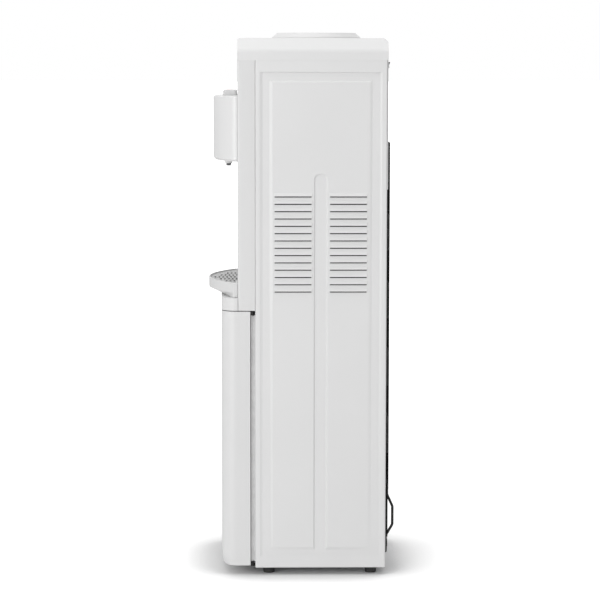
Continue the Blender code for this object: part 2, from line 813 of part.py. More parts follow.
def tapered_frame(name, y, z, slope, depth, face_x):
    """A rectangle cutter that narrows by slope times its depth under the panel's face."""
    out = face_x + OVERRUN
    body = box(name, None, (face_x - depth, out), y, z)

    def work(bm):
        centre_y = sum(y) / 2
        centre_z = sum(z) / 2
        for vert in bm.verts:
            grow = (vert.co.x - face_x) * slope
            vert.co.y += grow if vert.co.y > centre_y else -grow
            vert.co.z += grow if vert.co.z > centre_z else -grow

    return edit(body, work)


def fold_shift(inset, slope):
    """How far a fold's line moves along the face between the sheet's two sides."""
    return inset * math.tan(math.atan(1 / slope) / 2)


def louvre(name, y, lip_z, inset):
    """One outward-pressed hood: it slopes out from its top to a lip that opens down."""
    lean = inset / math.cos(math.atan((LOUVRE_PROUD + LOUVRE_ROOT) / LOUVRE_HEIGHT))
    bottom = lip_z - (LOUVRE_SHEAR if inset else 0)
    body = box(
        name,
        None,
        (HALF_WIDTH - PANEL_RETURN / 2, HALF_WIDTH + LOUVRE_PROUD - lean),
        (y[0] + inset, y[1] - inset),
        (bottom, lip_z + LOUVRE_HEIGHT),
    )

    def work(bm):
        middle = sum(y) / 2
        for vert in bm.verts:
            if vert.co.x < HALF_WIDTH:
                continue
            if vert.co.z > lip_z + LOUVRE_HEIGHT / 2:
                vert.co.x = HALF_WIDTH - LOUVRE_ROOT - lean
            else:
                vert.co.y -= math.copysign(LOUVRE_END, vert.co.y - middle)

    return edit(body, work)


def panel_solid(name, material, inset):
    """The side panel's outside as a solid or, with an inset, the hollow behind its sheet."""
    face_x = HALF_WIDTH - inset
    past = OVERRUN if inset else 0
    front, rear = at(PANEL_FRONT), at(PANEL_REAR)
    top = SKIRT_Z - FIT_GAP
    body = box(
        name,
        material,
        (HALF_WIDTH - PANEL_RETURN - past, face_x),
        (front + inset, rear - inset),
        (PANEL_BOTTOM_Z - past, top + past),
    )
    upright = runs_along("Z")
    round_edges(
        body, FOLD_RADIUS - inset, 3, lambda a, b: upright(a, b) and a.x > face_x - MERGE
    )

    slope = MOAT_SLOPE / MOAT_DEPTH
    shift = fold_shift(inset, slope)
    outer_y = (front + MOAT_FRONT_MARGIN, rear - MOAT_REAR_MARGIN)
    outer_z = (PANEL_BOTTOM_Z + MOAT_BOTTOM_MARGIN, top - MOAT_TOP_MARGIN)
    inner_y = (outer_y[0] + MOAT_BAND_Y, outer_y[1] - MOAT_BAND_Y)
    inner_z = (outer_z[0] + MOAT_BAND_Z, outer_z[1] - MOAT_BAND_Z)
    moat = tapered_frame(
        "moat_cut", grown(outer_y, shift), grown(outer_z, shift), slope, MOAT_DEPTH, face_x
    )
    plateau = tapered_frame(
        "plateau_block",
        grown(inner_y, -shift),
        grown(inner_z, -shift),
        -slope,
        MOAT_DEPTH + OVERRUN,
        face_x,
    )
    middle = sum(inner_y) / 2
    groove_top = inner_z[1] - GROOVE_DROP
    shift = fold_shift(inset, GROOVE_SLOPE)
    half = GROOVE_WIDTH / 2 + shift
    groove = tapered_frame(
        "groove_cut",
        (middle - half, middle + half),
        (inner_z[0] - MOAT_BAND_Z / 2, groove_top + shift),
        GROOVE_SLOPE,
        MOAT_DEPTH,
        face_x,
    )
    round_edges(
        groove,
        GROOVE_ROUND,
        3,
        lambda a, b: min(a.z, b.z) > groove_top - GROOVE_WIDTH and abs(a.x - b.x) > MERGE,
    )
    cut(moat, plateau)
    cut(body, moat, groove)

    for bank in (-1, 1):
        near = GROOVE_WIDTH / 2 + LOUVRE_TO_GROOVE
        span = sorted((middle + bank * near, middle + bank * (near + LOUVRE_LENGTH)))
        for row in range(LOUVRE_ROWS):
            lip_z = inner_z[1] - LOUVRE_DROP - row * LOUVRE_PITCH
            fuse(body, louvre(f"{name}_louvre_{bank}_{row}", span, lip_z, inset))
    bake(body)
    return body


def make_side_panel():
    """Right side panel: a folded sheet with a pressed frame, a groove and louvres."""
    panel = panel_solid("side_panel_right", "white_steel", 0)
    hollow = panel_solid("panel_hollow", None, SHEET)
    cut(panel, hollow)
    bake(panel)
    return smooth(panel)


def mirrored(obj, name):
    """A left-hand copy of a right-hand piece."""
    mesh = obj.data.copy()
    twin = new_object(name, mesh, None)

    def work(bm):
        bmesh.ops.scale(bm, vec=(-1, 1, 1), verts=bm.verts)
        bmesh.ops.reverse_faces(bm, faces=bm.faces)

    return edit(twin, work)


def make_base_pan():
    """Steel tray under the machine, with low lips and a tall rear lip for the services."""
    front, rear = at(PANEL_FRONT) + SHEET + FIT_GAP, at(PANEL_REAR) - SHEET - FIT_GAP
    side = HALF_WIDTH - MOAT_DEPTH - SHEET - FIT_GAP
    pan = box("base_pan", "zinc_steel", (-side, side), (front, rear), (PAN_Z, PAN_Z + PAN_REAR_LIP))
    inner = box(
        "pan_hollow",
        None,
        (-side + PAN_SHEET, side - PAN_SHEET),
        (front + PAN_SHEET, rear - PAN_SHEET),
        (PAN_Z + PAN_SHEET, PAN_Z + PAN_REAR_LIP + OVERRUN),
    )
    drop = box(
        "pan_lip_cut",
        None,
        (-side - OVERRUN, side + OVERRUN),
        (front - OVERRUN, rear - PAN_SHEET - FIT_GAP),
        (PAN_Z + PAN_LIP, PAN_Z + PAN_REAR_LIP + OVERRUN),
    )
    cut(pan, inner, drop)
    spigot = rod(
        "drain_spigot",
        None,
        (DRAIN_X, rear - PAN_SHEET / 2, DRAIN_Z),
        (DRAIN_X, rear + DRAIN_REACH, DRAIN_Z),
        DRAIN_RADIUS,
        BORE_SEGMENTS,
    )
    bore = rod(
        "drain_bore",
        None,
        (DRAIN_X, rear - PAN_SHEET - OVERRUN, DRAIN_Z),
        (DRAIN_X, rear + DRAIN_REACH + OVERRUN, DRAIN_Z),
        DRAIN_BORE,
        BORE_SEGMENTS,
    )
    fuse(pan, spigot)
    gland_hole = rod(
        "gland_hole",
        None,
        (GLAND_X, rear - PAN_SHEET - OVERRUN, GLAND_Z),
        (GLAND_X, rear + OVERRUN, GLAND_Z),
        GLAND_NECK + FIT_GAP,
        BORE_SEGMENTS,
    )
    cut(pan, bore, gland_hole)
    for name, x, y in foot_places():
        cut(
            pan,
            rod(
                "stud_hole_" + name,
                None,
                (x, y, PAN_Z - OVERRUN),
                (x, y, PAN_Z + PAN_SHEET + OVERRUN),
                FOOT_STUD_RADIUS + FIT_GAP,
                BORE_SEGMENTS,
            ),
        )
    return pan


def foot_places():
    x = HALF_WIDTH - FOOT_SIDE
    for side, sign in (("right", 1), ("left", -1)):
        yield "front_" + side, sign * x, at(FOOT_FRONT_DEPTH)
        yield "rear_" + side, sign * x, at(FOOT_REAR_DEPTH)


def make_feet():
    """Rubber feet whose studs press into the base pan."""
    seat = PAN_Z - FIT_GAP
    for name, x, y in foot_places():
        profile = [
            (0, seat + FOOT_STUD),
            (FOOT_STUD_RADIUS, seat + FOOT_STUD),
            (FOOT_STUD_RADIUS, seat),
            (FOOT_RADIUS, seat),
            (FOOT_TOP_RADIUS, 0),
            (0, 0),
        ]
        turned("foot_" + name, "rubber", profile, x, y, SMALL_SEGMENTS, closed=False)


def make_cabinet_liner():
    """Storage compartment: a moulded box, stepped over the compressor, with a front flange."""
    front = at(PANEL_FRONT) + SHEET + FIT_GAP
    wall = CABINET_LINER_WALL
    side = CABINET_LINER_HALF_WIDTH

    def profile(inset, front_y, front_inset):
        low, high = CABINET_LINER_BOTTOM_Z + inset, CABINET_LINER_TOP_Z - inset
        return [
            (front_y - front_inset, low),
            (at(CABINET_LOW_BACK) - inset, low),
            (at(CABINET_LOW_BACK) - inset, CABINET_STEP_Z + inset),
            (at(CABINET_HIGH_BACK) - inset, CABINET_STEP_Z + inset),
            (at(CABINET_HIGH_BACK) - inset, high),
            (front_y - front_inset, high),
        ]

    liner = plate("cabinet_liner", "white_plastic", profile(0, front, 0), "X", -side, side)
    flange = box(
        "liner_flange",
        None,
        (-CABINET_FLANGE_HALF_WIDTH, CABINET_FLANGE_HALF_WIDTH),
        (front, front + wall),
        (CABINET_LINER_BOTTOM_Z, CABINET_LINER_TOP_Z),
    )
    hollow = plate(
        "liner_hollow", None, profile(wall, front, OVERRUN), "X", -side + wall, side - wall
    )
    fuse(liner, flange)
    cut(liner, hollow)
    return liner


def make_back_sheet():
    """Lower back sheet with vent slots, seated inside the side panels' rear returns."""
    rear = at(PANEL_REAR) - SHEET - FIT_GAP
    side = HALF_WIDTH - MOAT_DEPTH - SHEET - FIT_GAP
    sheet = box(
        "back_panel",
        "white_steel",
        (-side, side),
        (rear - SHEET, rear),
        (BACK_SHEET_BOTTOM_Z, UPPER_COVER_BOTTOM_Z - FIT_GAP),
    )
    for row in range(BACK_VENT_ROWS):
        z = BACK_VENT_TOP_Z - row * BACK_VENT_PITCH
        cut(
            sheet,
            box(
                f"back_vent_{row}",
                None,
                (-BACK_VENT_WIDTH / 2, BACK_VENT_WIDTH / 2),
                (rear - SHEET - OVERRUN, rear + OVERRUN),
                (z - BACK_VENT_HEIGHT, z),
            ),
        )
    return sheet


def make_upper_back_cover():
    """Moulded cover over the upper rear: a sunk plate in a raised frame, with switch bays."""
    top = SKIRT_Z - FIT_GAP
    side = HALF_WIDTH - UPPER_COVER_SIDE
    face = at(PANEL_REAR) + FIT_GAP
    frame = box(
        "upper_back_cover",
        "white_plastic",
        (-side, side),
        (face, face + UPPER_COVER_RIM),
        (UPPER_COVER_BOTTOM_Z, top),
    )
    plate_side = HALF_WIDTH - PANEL_RETURN - FIT_GAP
    window_side = plate_side - UPPER_COVER_SEAM
    window_top = top - UPPER_COVER_HEAD
    window = box(
        "cover_window",
        None,
        (-window_side, window_side),
        (face - OVERRUN, face + UPPER_COVER_RIM + OVERRUN),
        (UPPER_COVER_BOTTOM_Z - OVERRUN, window_top),
    )
    sunk = box(
        "cover_plate",
        None,
        (-plate_side, plate_side),
        (face + UPPER_COVER_LAP - UPPER_COVER_PLATE, face + UPPER_COVER_LAP),
        (UPPER_COVER_BOTTOM_Z, window_top + UPPER_COVER_SEAM),
    )
    cut(frame, window)
    fuse(frame, sunk)
    for name, x in rocker_places():
        half = ROCKER_WIDTH / 2 + ROCKER_CLEARANCE
        tall = ROCKER_HALF_HEIGHT + ROCKER_CLEARANCE
        bay = box(
            "switch_bay_" + name,
            None,
            (x - half, x + half),
            (face - OVERRUN, face + UPPER_COVER_RIM + OVERRUN),
            (ROCKER_Z - tall, ROCKER_Z + tall),
        )
        cut(frame, bay)
    return frame


def rocker_places():
    return (("hot", ROCKER_X), ("cold", ROCKER_X - ROCKER_PITCH))


def make_rockers():
    """Rear power rockers, each turning on a level axis in its bay."""
    axis_y = at(PANEL_REAR) + FIT_GAP + UPPER_COVER_RIM / 2
    for name, x in rocker_places():
        half = ROCKER_HALF_HEIGHT
        outline = [(ROCKER_PROUD, -half), (ROCKER_PROUD / 2, 0), (ROCKER_PROUD, half)]
        for step in range(7):
            angle = math.pi / 2 - math.pi * step / 6
            outline.append((-ROCKER_BELLY * math.cos(angle), half * math.sin(angle)))
        rocker = plate(
            "rocker_" + name, "black_plastic", outline, "X", -ROCKER_WIDTH / 2, ROCKER_WIDTH / 2
        )
        rocker.location = (x, axis_y, ROCKER_Z)
        rocker.rotation_euler = (-ROCKER_TILT, 0, 0)


# Top cover and bottle seat


def cover_outline(inset):
    side = HALF_WIDTH - inset
    ridge = HALF_WIDTH - COVER_INSET - inset
    return [
        (-side, SKIRT_Z),
        (side, SKIRT_Z),
        (side, SHOULDER_Z),
        (ridge, COVER_TOP_Z - inset),
        (-ridge, COVER_TOP_Z - inset),
        (-side, SHOULDER_Z),
    ]


def make_top_cover():
    """Moulded lid of the cabinet, with sloped sides and the bottle's opening."""
    cover = plate("top_cover", "white_plastic", cover_outline(0), "Y", at(0), at(COVER_REAR))
    across = runs_along("X")
    high = COVER_TOP_Z - MERGE
    round_edges(
        cover, COVER_FRONT_ROUND, 3,
        lambda a, b: across(a, b) and a.z > high and a.y < at(COVER_REAR) / 2,
    )
    round_edges(
        cover, COVER_REAR_ROUND, 4,
        lambda a, b: across(a, b) and a.z > high and a.y > at(COVER_REAR) - MERGE,
    )
    outline = cover_outline(COVER_WALL)
    outline[0] = (outline[0][0], SKIRT_Z - OVERRUN)
    outline[1] = (outline[1][0], SKIRT_Z - OVERRUN)
    hollow = plate(
        "cover_hollow", None, outline, "Y", at(COVER_WALL), at(COVER_REAR) - COVER_WALL
    )
    hole = rod(
        "bottle_hole",
        None,
        (0, at(BOTTLE_DEPTH), COVER_TOP_Z - COVER_WALL - OVERRUN),
        (0, at(BOTTLE_DEPTH), COVER_TOP_Z + OVERRUN),
        clear_of(COLLAR_THROAT_RADIUS, FIT_GAP),
    )
    cut(cover, hollow, hole)
    return cover


def make_bottle_seat():
    """Collar that the bottle's shoulder rests on, the well below it and the feed probe."""
    y = at(BOTTLE_DEPTH)
    seat = COVER_TOP_Z + FIT_GAP
    rim_z = COVER_TOP_Z + COLLAR_RISE
    inner_rim = COLLAR_TOP_RADIUS - COLLAR_RIM
    throat = COLLAR_THROAT_RADIUS
    collar = [
        (COLLAR_TOP_RADIUS, rim_z - COLLAR_CROWN),
        (COLLAR_BASE_RADIUS, seat + COLLAR_FLANGE),
        (COLLAR_BASE_RADIUS, seat),
        (throat, seat),
        (throat, COLLAR_THROAT_Z),
        (throat - COLLAR_WALL, COLLAR_THROAT_Z),
        (throat - COLLAR_WALL, seat + COLLAR_FLANGE),
        (inner_rim, rim_z - COLLAR_CROWN),
        ((inner_rim + COLLAR_TOP_RADIUS) / 2 - COLLAR_CROWN / 2, rim_z),
        ((inner_rim + COLLAR_TOP_RADIUS) / 2 + COLLAR_CROWN / 2, rim_z),
    ]
    turned("bottle_collar", "white_plastic", collar, 0, y)

    lip = COLLAR_THROAT_Z - FIT_GAP
    foot = COLD_TOP_Z + FIT_GAP
    neck, wall = WELL_NECK_RADIUS, WELL_WALL
    well = [
        (throat, lip),
        (throat, lip - WELL_FLANGE),
        (neck + wall, WELL_NECK_Z),
        (neck + wall, foot),
        (PROBE_BASE_RADIUS / 2, foot),
        (PROBE_BASE_RADIUS / 2, foot + wall),
        (neck, foot + wall),
        (neck, WELL_NECK_Z + wall),
        (throat - wall, lip),
    ]
    turned("bottle_well", "white_plastic", well, 0, y, ROUND_SEGMENTS)

    base = foot + wall + FIT_GAP
    probe = [
        (PROBE_RADIUS / 3, PROBE_TOP_Z),
        (PROBE_RADIUS, PROBE_TOP_Z - PROBE_TIP),
        (PROBE_RADIUS, base + PROBE_BASE),
        (PROBE_BASE_RADIUS, base + PROBE_BASE),
        (PROBE_BASE_RADIUS, base),
        (PROBE_RADIUS - wall, base),
        (PROBE_RADIUS - wall, PROBE_TOP_Z - PROBE_TIP - wall),
        (0, PROBE_TOP_Z - PROBE_TIP - wall),
    ]
    probe = [(0, PROBE_TOP_Z)] + probe
    feed = turned("feed_probe", "blue_plastic", probe, 0, y, SMALL_SEGMENTS, closed=False)
    port_z = PROBE_TOP_Z - PROBE_TIP - wall - PROBE_PORT
    cut(
        feed,
        box(
            "probe_port",
            None,
            (-PROBE_RADIUS - OVERRUN, PROBE_RADIUS + OVERRUN),
            (y - PROBE_PORT / 2, y + PROBE_PORT / 2),
            (port_z - PROBE_PORT, port_z),
        ),
    )


# Front mouldings


def make_fascia():
    """Upper front: a thin shell with the cup alcove, tap inlets and a chin over the door."""
    top = SKIRT_Z - FIT_GAP
    back = PANEL_FRONT - FIT_GAP
    side, wall = HALF_WIDTH, FASCIA_WALL
    fascia = box(
        "front_fascia", "white_plastic", (-side, side), (at(0), at(back)), (FASCIA_BOTTOM_Z, top)
    )
    upright = runs_along("Z")
    round_edges(fascia, FASCIA_ROUND, 3, lambda a, b: upright(a, b) and a.y < at(0) + MERGE)
    hollow = box(
        "fascia_hollow",
        None,
        (-side + wall, side - wall),
        (at(wall), at(back) + OVERRUN),
        (FASCIA_BOTTOM_Z + wall, top - wall),
    )
    cut(fascia, hollow)

    chin_outline = rounded_front(DOOR_BOW, wall * 2)
    chin = plate("chin", None, chin_outline, "Z", FASCIA_BOTTOM_Z, CHIN_TOP_Z)
    chin_inner = rounded_front(DOOR_BOW, wall * 2 + OVERRUN, wall * 2)
    chin_hollow = plate(
        "chin_hollow", None, chin_inner, "Z", FASCIA_BOTTOM_Z + wall, CHIN_TOP_Z - wall
    )
    fuse(fascia, chin)

    half = ALCOVE_HALF_WIDTH
    pocket_outer = box(
        "alcove_shell",
        None,
        (-half - wall, half + wall),
        (at(wall / 2), at(ALCOVE_BACK + wall)),
        (CHIN_TOP_Z - wall, HOUSING_BOTTOM_Z + wall),
    )
    pocket = box(
        "alcove_cut",
        None,
        (-half, half),
        (at(-OVERRUN), at(ALCOVE_BACK)),
        (CHIN_TOP_Z, HOUSING_BOTTOM_Z),
    )
    far = at(ALCOVE_BACK)
    round_edges(pocket_outer, ALCOVE_ROUND + wall, 3, lambda a, b: upright(a, b) and a.y > far)
    round_edges(pocket, ALCOVE_ROUND, 3, lambda a, b: upright(a, b) and a.y > far - MERGE)
    fuse(fascia, pocket_outer)
    cut(fascia, chin_hollow, pocket)

    for name, x in tap_places():
        cut(
            fascia,
            rod(
                "inlet_hole_" + name,
                None,
                (x, at(-OVERRUN), INLET_Z),
                (x, at(wall) + OVERRUN, INLET_Z),
                INLET_RADIUS + INLET_CLEARANCE,
                BORE_SEGMENTS,
            ),
        )
    for index, (name, x, _) in enumerate(lamp_places()):
        cut(
            fascia,
            rod(
                "lamp_hole_" + name,
                None,
                (x, at(-OVERRUN), LAMP_Z),
                (x, at(wall) + OVERRUN, LAMP_Z),
                LAMP_RADIUS + FIT_GAP,
                SMALL_SEGMENTS,
            ),
        )
    for sign in (-1, 1):
        edge = sign * side
        cut(
            fascia,
            box(
                "feature_line",
                None,
                tuple(sorted((edge - sign * FEATURE_CUT, edge + sign * OVERRUN))),
                (at(FEATURE_DEPTH), at(FEATURE_DEPTH + FEATURE_CUT)),
                (FASCIA_BOTTOM_Z - OVERRUN, top + OVERRUN),
            ),
            box(
                "chin_seam",
                None,
                tuple(sorted((edge - sign * CHIN_SEAM_CUT, edge + sign * OVERRUN))),
                (at(0), at(CHIN_SEAM)),
                (FASCIA_BOTTOM_Z - OVERRUN, CHIN_TOP_Z),
            ),
        )
    return fascia


def tap_places():
    return (("cold", TAP_PITCH), ("room", 0), ("hot", -TAP_PITCH))


def lamp_places():
    return (
        ("power", LAMP_PITCH, "green_plastic"),
        ("heating", 0, "red_plastic"),
        ("cooling", -LAMP_PITCH, "blue_plastic"),
    )


def make_lamps():
    for name, x, colour in lamp_places():
        rod(
            "lamp_" + name,
            colour,
            (x, at(-LAMP_PROUD), LAMP_Z),
            (x, at(LAMP_LENGTH), LAMP_Z),
            LAMP_RADIUS,
            SMALL_SEGMENTS,
        )


def make_tap_housing():
    """Bowed housing over the taps, open behind, with button and spout openings."""
    back = -FIT_GAP
    wall = HOUSING_WALL
    shape = (HOUSING_HALF_WIDTH, HOUSING_SIDE, back, HOUSING_REACH)
    outer, drawn = bowed_outline(*shape), bowed_outline(*shape, HOUSING_ROUND)
    soft = HOUSING_ROUND
    rings = []
    for z, outline in (
        (HOUSING_BOTTOM_Z, drawn),
        (HOUSING_BOTTOM_Z + soft, outer),
        (HOUSING_TOP_Z - soft / 2, outer),
        (HOUSING_TOP_Z, drawn),
    ):
        rings.append([(x, y, z) for x, y in outline])
    housing = loft("tap_housing", "white_plastic", rings)
    inner = bowed_outline(HOUSING_HALF_WIDTH, HOUSING_SIDE, back + OVERRUN, HOUSING_REACH, wall * 2)
    hollow = plate(
        "housing_hollow", None, inner, "Z", HOUSING_BOTTOM_Z + wall, HOUSING_TOP_Z - wall
    )
    cut(housing, hollow)
    y = at(-TAP_DEPTH_AHEAD)
    for name, x in tap_places():
        half = BUTTON_WIDTH / 2 + BUTTON_CLEARANCE
        slot = box(
            "button_slot_" + name,
            None,
            (x - half, x + half),
            (
                at(-BUTTON_FRONT_AHEAD) - BUTTON_CLEARANCE,
                at(-BUTTON_BACK_AHEAD) + BUTTON_CLEARANCE,
            ),
            (HOUSING_TOP_Z - wall - OVERRUN, HOUSING_TOP_Z + OVERRUN),
        )
        spout = rod(
            "spout_hole_" + name,
            None,
            (x, y, HOUSING_BOTTOM_Z - OVERRUN),
            (x, y, HOUSING_BOTTOM_Z + wall + OVERRUN),
            SPOUT_RADIUS + SPOUT_CLEARANCE,
            MID_SEGMENTS,
        )
        cut(housing, slot, spout)
    return housing


def make_taps():
    """Valve bodies with their spouts, level inlets and plunger bores."""
    y = at(-TAP_DEPTH_AHEAD)
    bore = STEM_RADIUS + STEM_CLEARANCE
    bore_floor = BUTTON_SKIRT_Z - STEM_LENGTH - BUTTON_TRAVEL - STEM_CLEARANCE
    for name, x in tap_places():
        profile = [
            (TAP_BODY_RADIUS, TAP_BODY_TOP_Z),
            (TAP_BODY_RADIUS, TAP_BODY_BOTTOM_Z),
            (SPOUT_RADIUS, TAP_BODY_BOTTOM_Z - TAP_BODY_RADIUS),
            (SPOUT_RADIUS - HOUSING_WALL / 2, SPOUT_TIP_Z),
            (SPOUT_BORE, SPOUT_TIP_Z),
            (SPOUT_BORE, SPOUT_TIP_Z + SPOUT_BORE_DEPTH),
            (0, SPOUT_TIP_Z + SPOUT_BORE_DEPTH),
        ]
        head = [(0, bore_floor), (bore, bore_floor), (bore, TAP_BODY_TOP_Z)]
        whole = head + profile
        tap = turned("tap_" + name, "white_plastic", whole, x, y, BORE_SEGMENTS, closed=False)
        inlet = rod(
            "tap_inlet_" + name,
            None,
            (x, y, INLET_Z),
            (x, at(INLET_BACK), INLET_Z),
            INLET_RADIUS,
            BORE_SEGMENTS,
        )
        fuse(tap, inlet)


def make_buttons():
    """Push buttons with a retaining lip and a stem that enters the valve below."""
    y = at(-TAP_DEPTH_AHEAD)
    span = (at(-BUTTON_FRONT_AHEAD), at(-BUTTON_BACK_AHEAD))
    for name, x in tap_places():
        half = BUTTON_WIDTH / 2
        button = box(
            "button_" + name,
            "grey_plastic",
            (x - half, x + half),
            span,
            (BUTTON_SKIRT_Z, BUTTON_TOP_Z),
        )
        round_edges(
            button, BUTTON_ROUND, 2, lambda a, b: min(a.z, b.z) > BUTTON_TOP_Z - MERGE
        )
        lip_top = HOUSING_TOP_Z - HOUSING_WALL - FIT_GAP
        lip = box(
            "button_lip_" + name,
            None,
            (x - half - BUTTON_LIP, x + half + BUTTON_LIP),
            (span[0] + BUTTON_LIP, span[1] - BUTTON_LIP),
            (lip_top - BUTTON_LIP_HEIGHT, lip_top),
        )
        stem = rod(
            "button_stem_" + name,
            None,
            (x, y, BUTTON_SKIRT_Z - STEM_LENGTH),
            (x, y, BUTTON_SKIRT_Z + OVERRUN),
            STEM_RADIUS,
            BORE_SEGMENTS,
        )
        fuse(button, lip, stem)
        if name == "hot":
            cut(button, lock_block("lock_slot", None, FIT_GAP, LOCK_TRAVEL, OVERRUN))
            slide = lock_block("hot_lock", "red_plastic", 0, 0, 0)
            carry(empty("hot_lock_guide", (x, y, BUTTON_TOP_Z)), slide)
        carry(empty(f"button_{name}_guide", (x, y, BUTTON_TOP_Z)), button)


def lock_block(name, material, clearance, travel, above):
    """The child lock's slide on the hot button, or the slot that it runs in."""
    half = LOCK_WIDTH / 2 + clearance
    front = at(-TAP_DEPTH_AHEAD) - LOCK_LENGTH / 2
    return box(
        name,
        material,
        (-TAP_PITCH - half, -TAP_PITCH + half),
        (front - clearance, front + LOCK_LENGTH + travel + clearance),
        (BUTTON_TOP_Z - LOCK_DEPTH - clearance, BUTTON_TOP_Z + above),
    )


def make_springs():
    """Return springs round the stems, between the valve and the button."""
    y = at(-TAP_DEPTH_AHEAD)
    low = TAP_BODY_TOP_Z + FIT_GAP + SPRING_WIRE
    high = BUTTON_SKIRT_Z - FIT_GAP - SPRING_WIRE
    steps = SPRING_STEPS * SPRING_TURNS
    for name, x in tap_places():
        points = []
        for step in range(steps + 1):
            share = step / steps
            angle = 2 * math.pi * SPRING_TURNS * share
            points.append(
                (
                    x + SPRING_RADIUS * math.cos(angle),
                    y + SPRING_RADIUS * math.sin(angle),
                    low + (high - low) * share,
                )
            )
        tube("spring_" + name, "stainless", points, SPRING_WIRE, 0)


# Drip tray


def tray_outline(half_width, side, reach, inset, rear, alcove_half):
    """Bowed front of the tray with a narrower tail that enters the alcove."""
    front = bowed_outline(half_width, side, -FIT_GAP, reach, inset)
    head = front[2:]
    tail = alcove_half - inset
    shoulder = at(-FIT_GAP) - inset
    return [
        (half_width - inset, shoulder),
        (tail, shoulder),
        (tail, at(rear) - inset),
        (-tail, at(rear) - inset),
        (-tail, shoulder),
        (-half_width + inset, shoulder),
    ] + head


def make_drip_tray():
    """Basin that catches drips: bowed lip in front, tail in the alcove."""
    tail = ALCOVE_HALF_WIDTH - TRAY_SIDE_CLEARANCE
    rear = ALCOVE_BACK - TRAY_BACK_CLEARANCE
    floor = CHIN_TOP_Z + FIT_GAP
    rim = tray_outline(TRAY_HALF_WIDTH, TRAY_SIDE, TRAY_REACH, 0, rear, tail)
    low = tray_outline(TRAY_HALF_WIDTH, TRAY_SIDE, DOOR_BOW, 0, rear, tail)
    tray = loft(
        "drip_tray",
        "white_plastic",
        [
            [(x, y, floor) for x, y in low],
            [(x, y, TRAY_LIP_Z) for x, y in rim],
            [(x, y, TRAY_RIM_Z) for x, y in rim],
        ],
    )
    basin_rim = tray_outline(
        TRAY_HALF_WIDTH, TRAY_SIDE, TRAY_REACH, TRAY_WALL, rear, tail
    )
    basin = plate(
        "tray_basin", None, basin_rim, "Z", TRAY_LIP_Z + TRAY_FLOOR, TRAY_RIM_Z + OVERRUN
    )
    corner = at(rear)
    upright = runs_along("Z")
    for body, radius in ((tray, ALCOVE_ROUND), (basin, ALCOVE_ROUND - TRAY_WALL)):
        round_edges(
            body, radius, 3,
            lambda a, b: upright(a, b) and min(a.y, b.y) > corner - TRAY_WALL * 2,
        )
    cut(tray, basin)
    return tray


def grille_slots(inset, corner):
    """Outlines of the slots: banks side by side, each shifted a little from the last."""
    radius = bow_radius(TRAY_HALF_WIDTH, TRAY_REACH - TRAY_SIDE) - inset
    centre = at(-TRAY_REACH) + inset + radius
    bank_pitch = GRILLE_SLOT_LENGTH + GRILLE_BAR
    slots = []
    for bank in range(GRILLE_BANKS):
        x = (bank - (GRILLE_BANKS - 1) / 2) * bank_pitch
        far = abs(x) + GRILLE_SLOT_LENGTH / 2
        front = centre - math.sqrt(radius**2 - far**2) + GRILLE_BORDER
        y = corner - GRILLE_BORDER - GRILLE_STAGGER * bank
        while y - GRILLE_SLOT > front:
            half = GRILLE_SLOT_LENGTH / 2
            low = y - GRILLE_SLOT
            slots.append([(x - half, low), (x + half, low), (x + half, y), (x - half, y)])
            y -= GRILLE_PITCH
    return slots


def make_drip_grille():
    """Lift-out grille: a plate of slots on short legs."""
    tail = ALCOVE_HALF_WIDTH - TRAY_SIDE_CLEARANCE
    rear = ALCOVE_BACK - TRAY_BACK_CLEARANCE
    inset = TRAY_WALL + TRAY_SIDE_CLEARANCE
    top = TRAY_RIM_Z - GRILLE_DROP
    corner = at(rear) - inset
    outline = tray_outline(TRAY_HALF_WIDTH, TRAY_SIDE, TRAY_REACH, inset, rear, tail)
    slots = grille_slots(inset, corner)
    grille = plate(
        "drip_grille", "grey_plastic", outline, "Z", top - GRILLE_THICKNESS, top, slots
    )
    upright = runs_along("Z")
    round_edges(
        grille, ALCOVE_ROUND - inset, 3,
        lambda a, b: upright(a, b) and min(a.y, b.y) > corner - MERGE,
    )
    floor = TRAY_LIP_Z + TRAY_FLOOR + FIT_GAP
    knee = top - GRILLE_THICKNESS / 2
    side_x = tail - inset - GRILLE_BORDER / 2
    side_y = corner - GRILLE_LEG_FROM_REAR
    front_y = at(-TRAY_REACH) + inset + GRILLE_BORDER / 2
    half = GRILLE_LEG / 2
    for x, y in ((-side_x, side_y), (side_x, side_y), (0, front_y)):
        leg = box(
            "grille_leg",
            None,
            (x - half, x + half),
            (y - half / 2, y + half / 2),
            (floor, knee),
        )
        fuse(grille, leg)
    return grille


# Storage door


def door_rings(inset, back, low, high):
    """Sections of the door, drawn back over its rounded toe."""
    levels = []
    for step in range(DOOR_TOE_STEPS + 1):
        angle = math.pi / 2 * step / DOOR_TOE_STEPS
        reach = DOOR_BOW - DOOR_TOE_DEPTH * (1 - math.sin(angle))
        levels.append((reach, low + (DOOR_TOE_HEIGHT - inset) * (1 - math.cos(angle))))
    levels.append((DOOR_BOW, high))
    rings = []
    for reach, z in levels:
        rings.append([(x, y, z) for x, y in rounded_front(reach, back, inset)])
    return rings


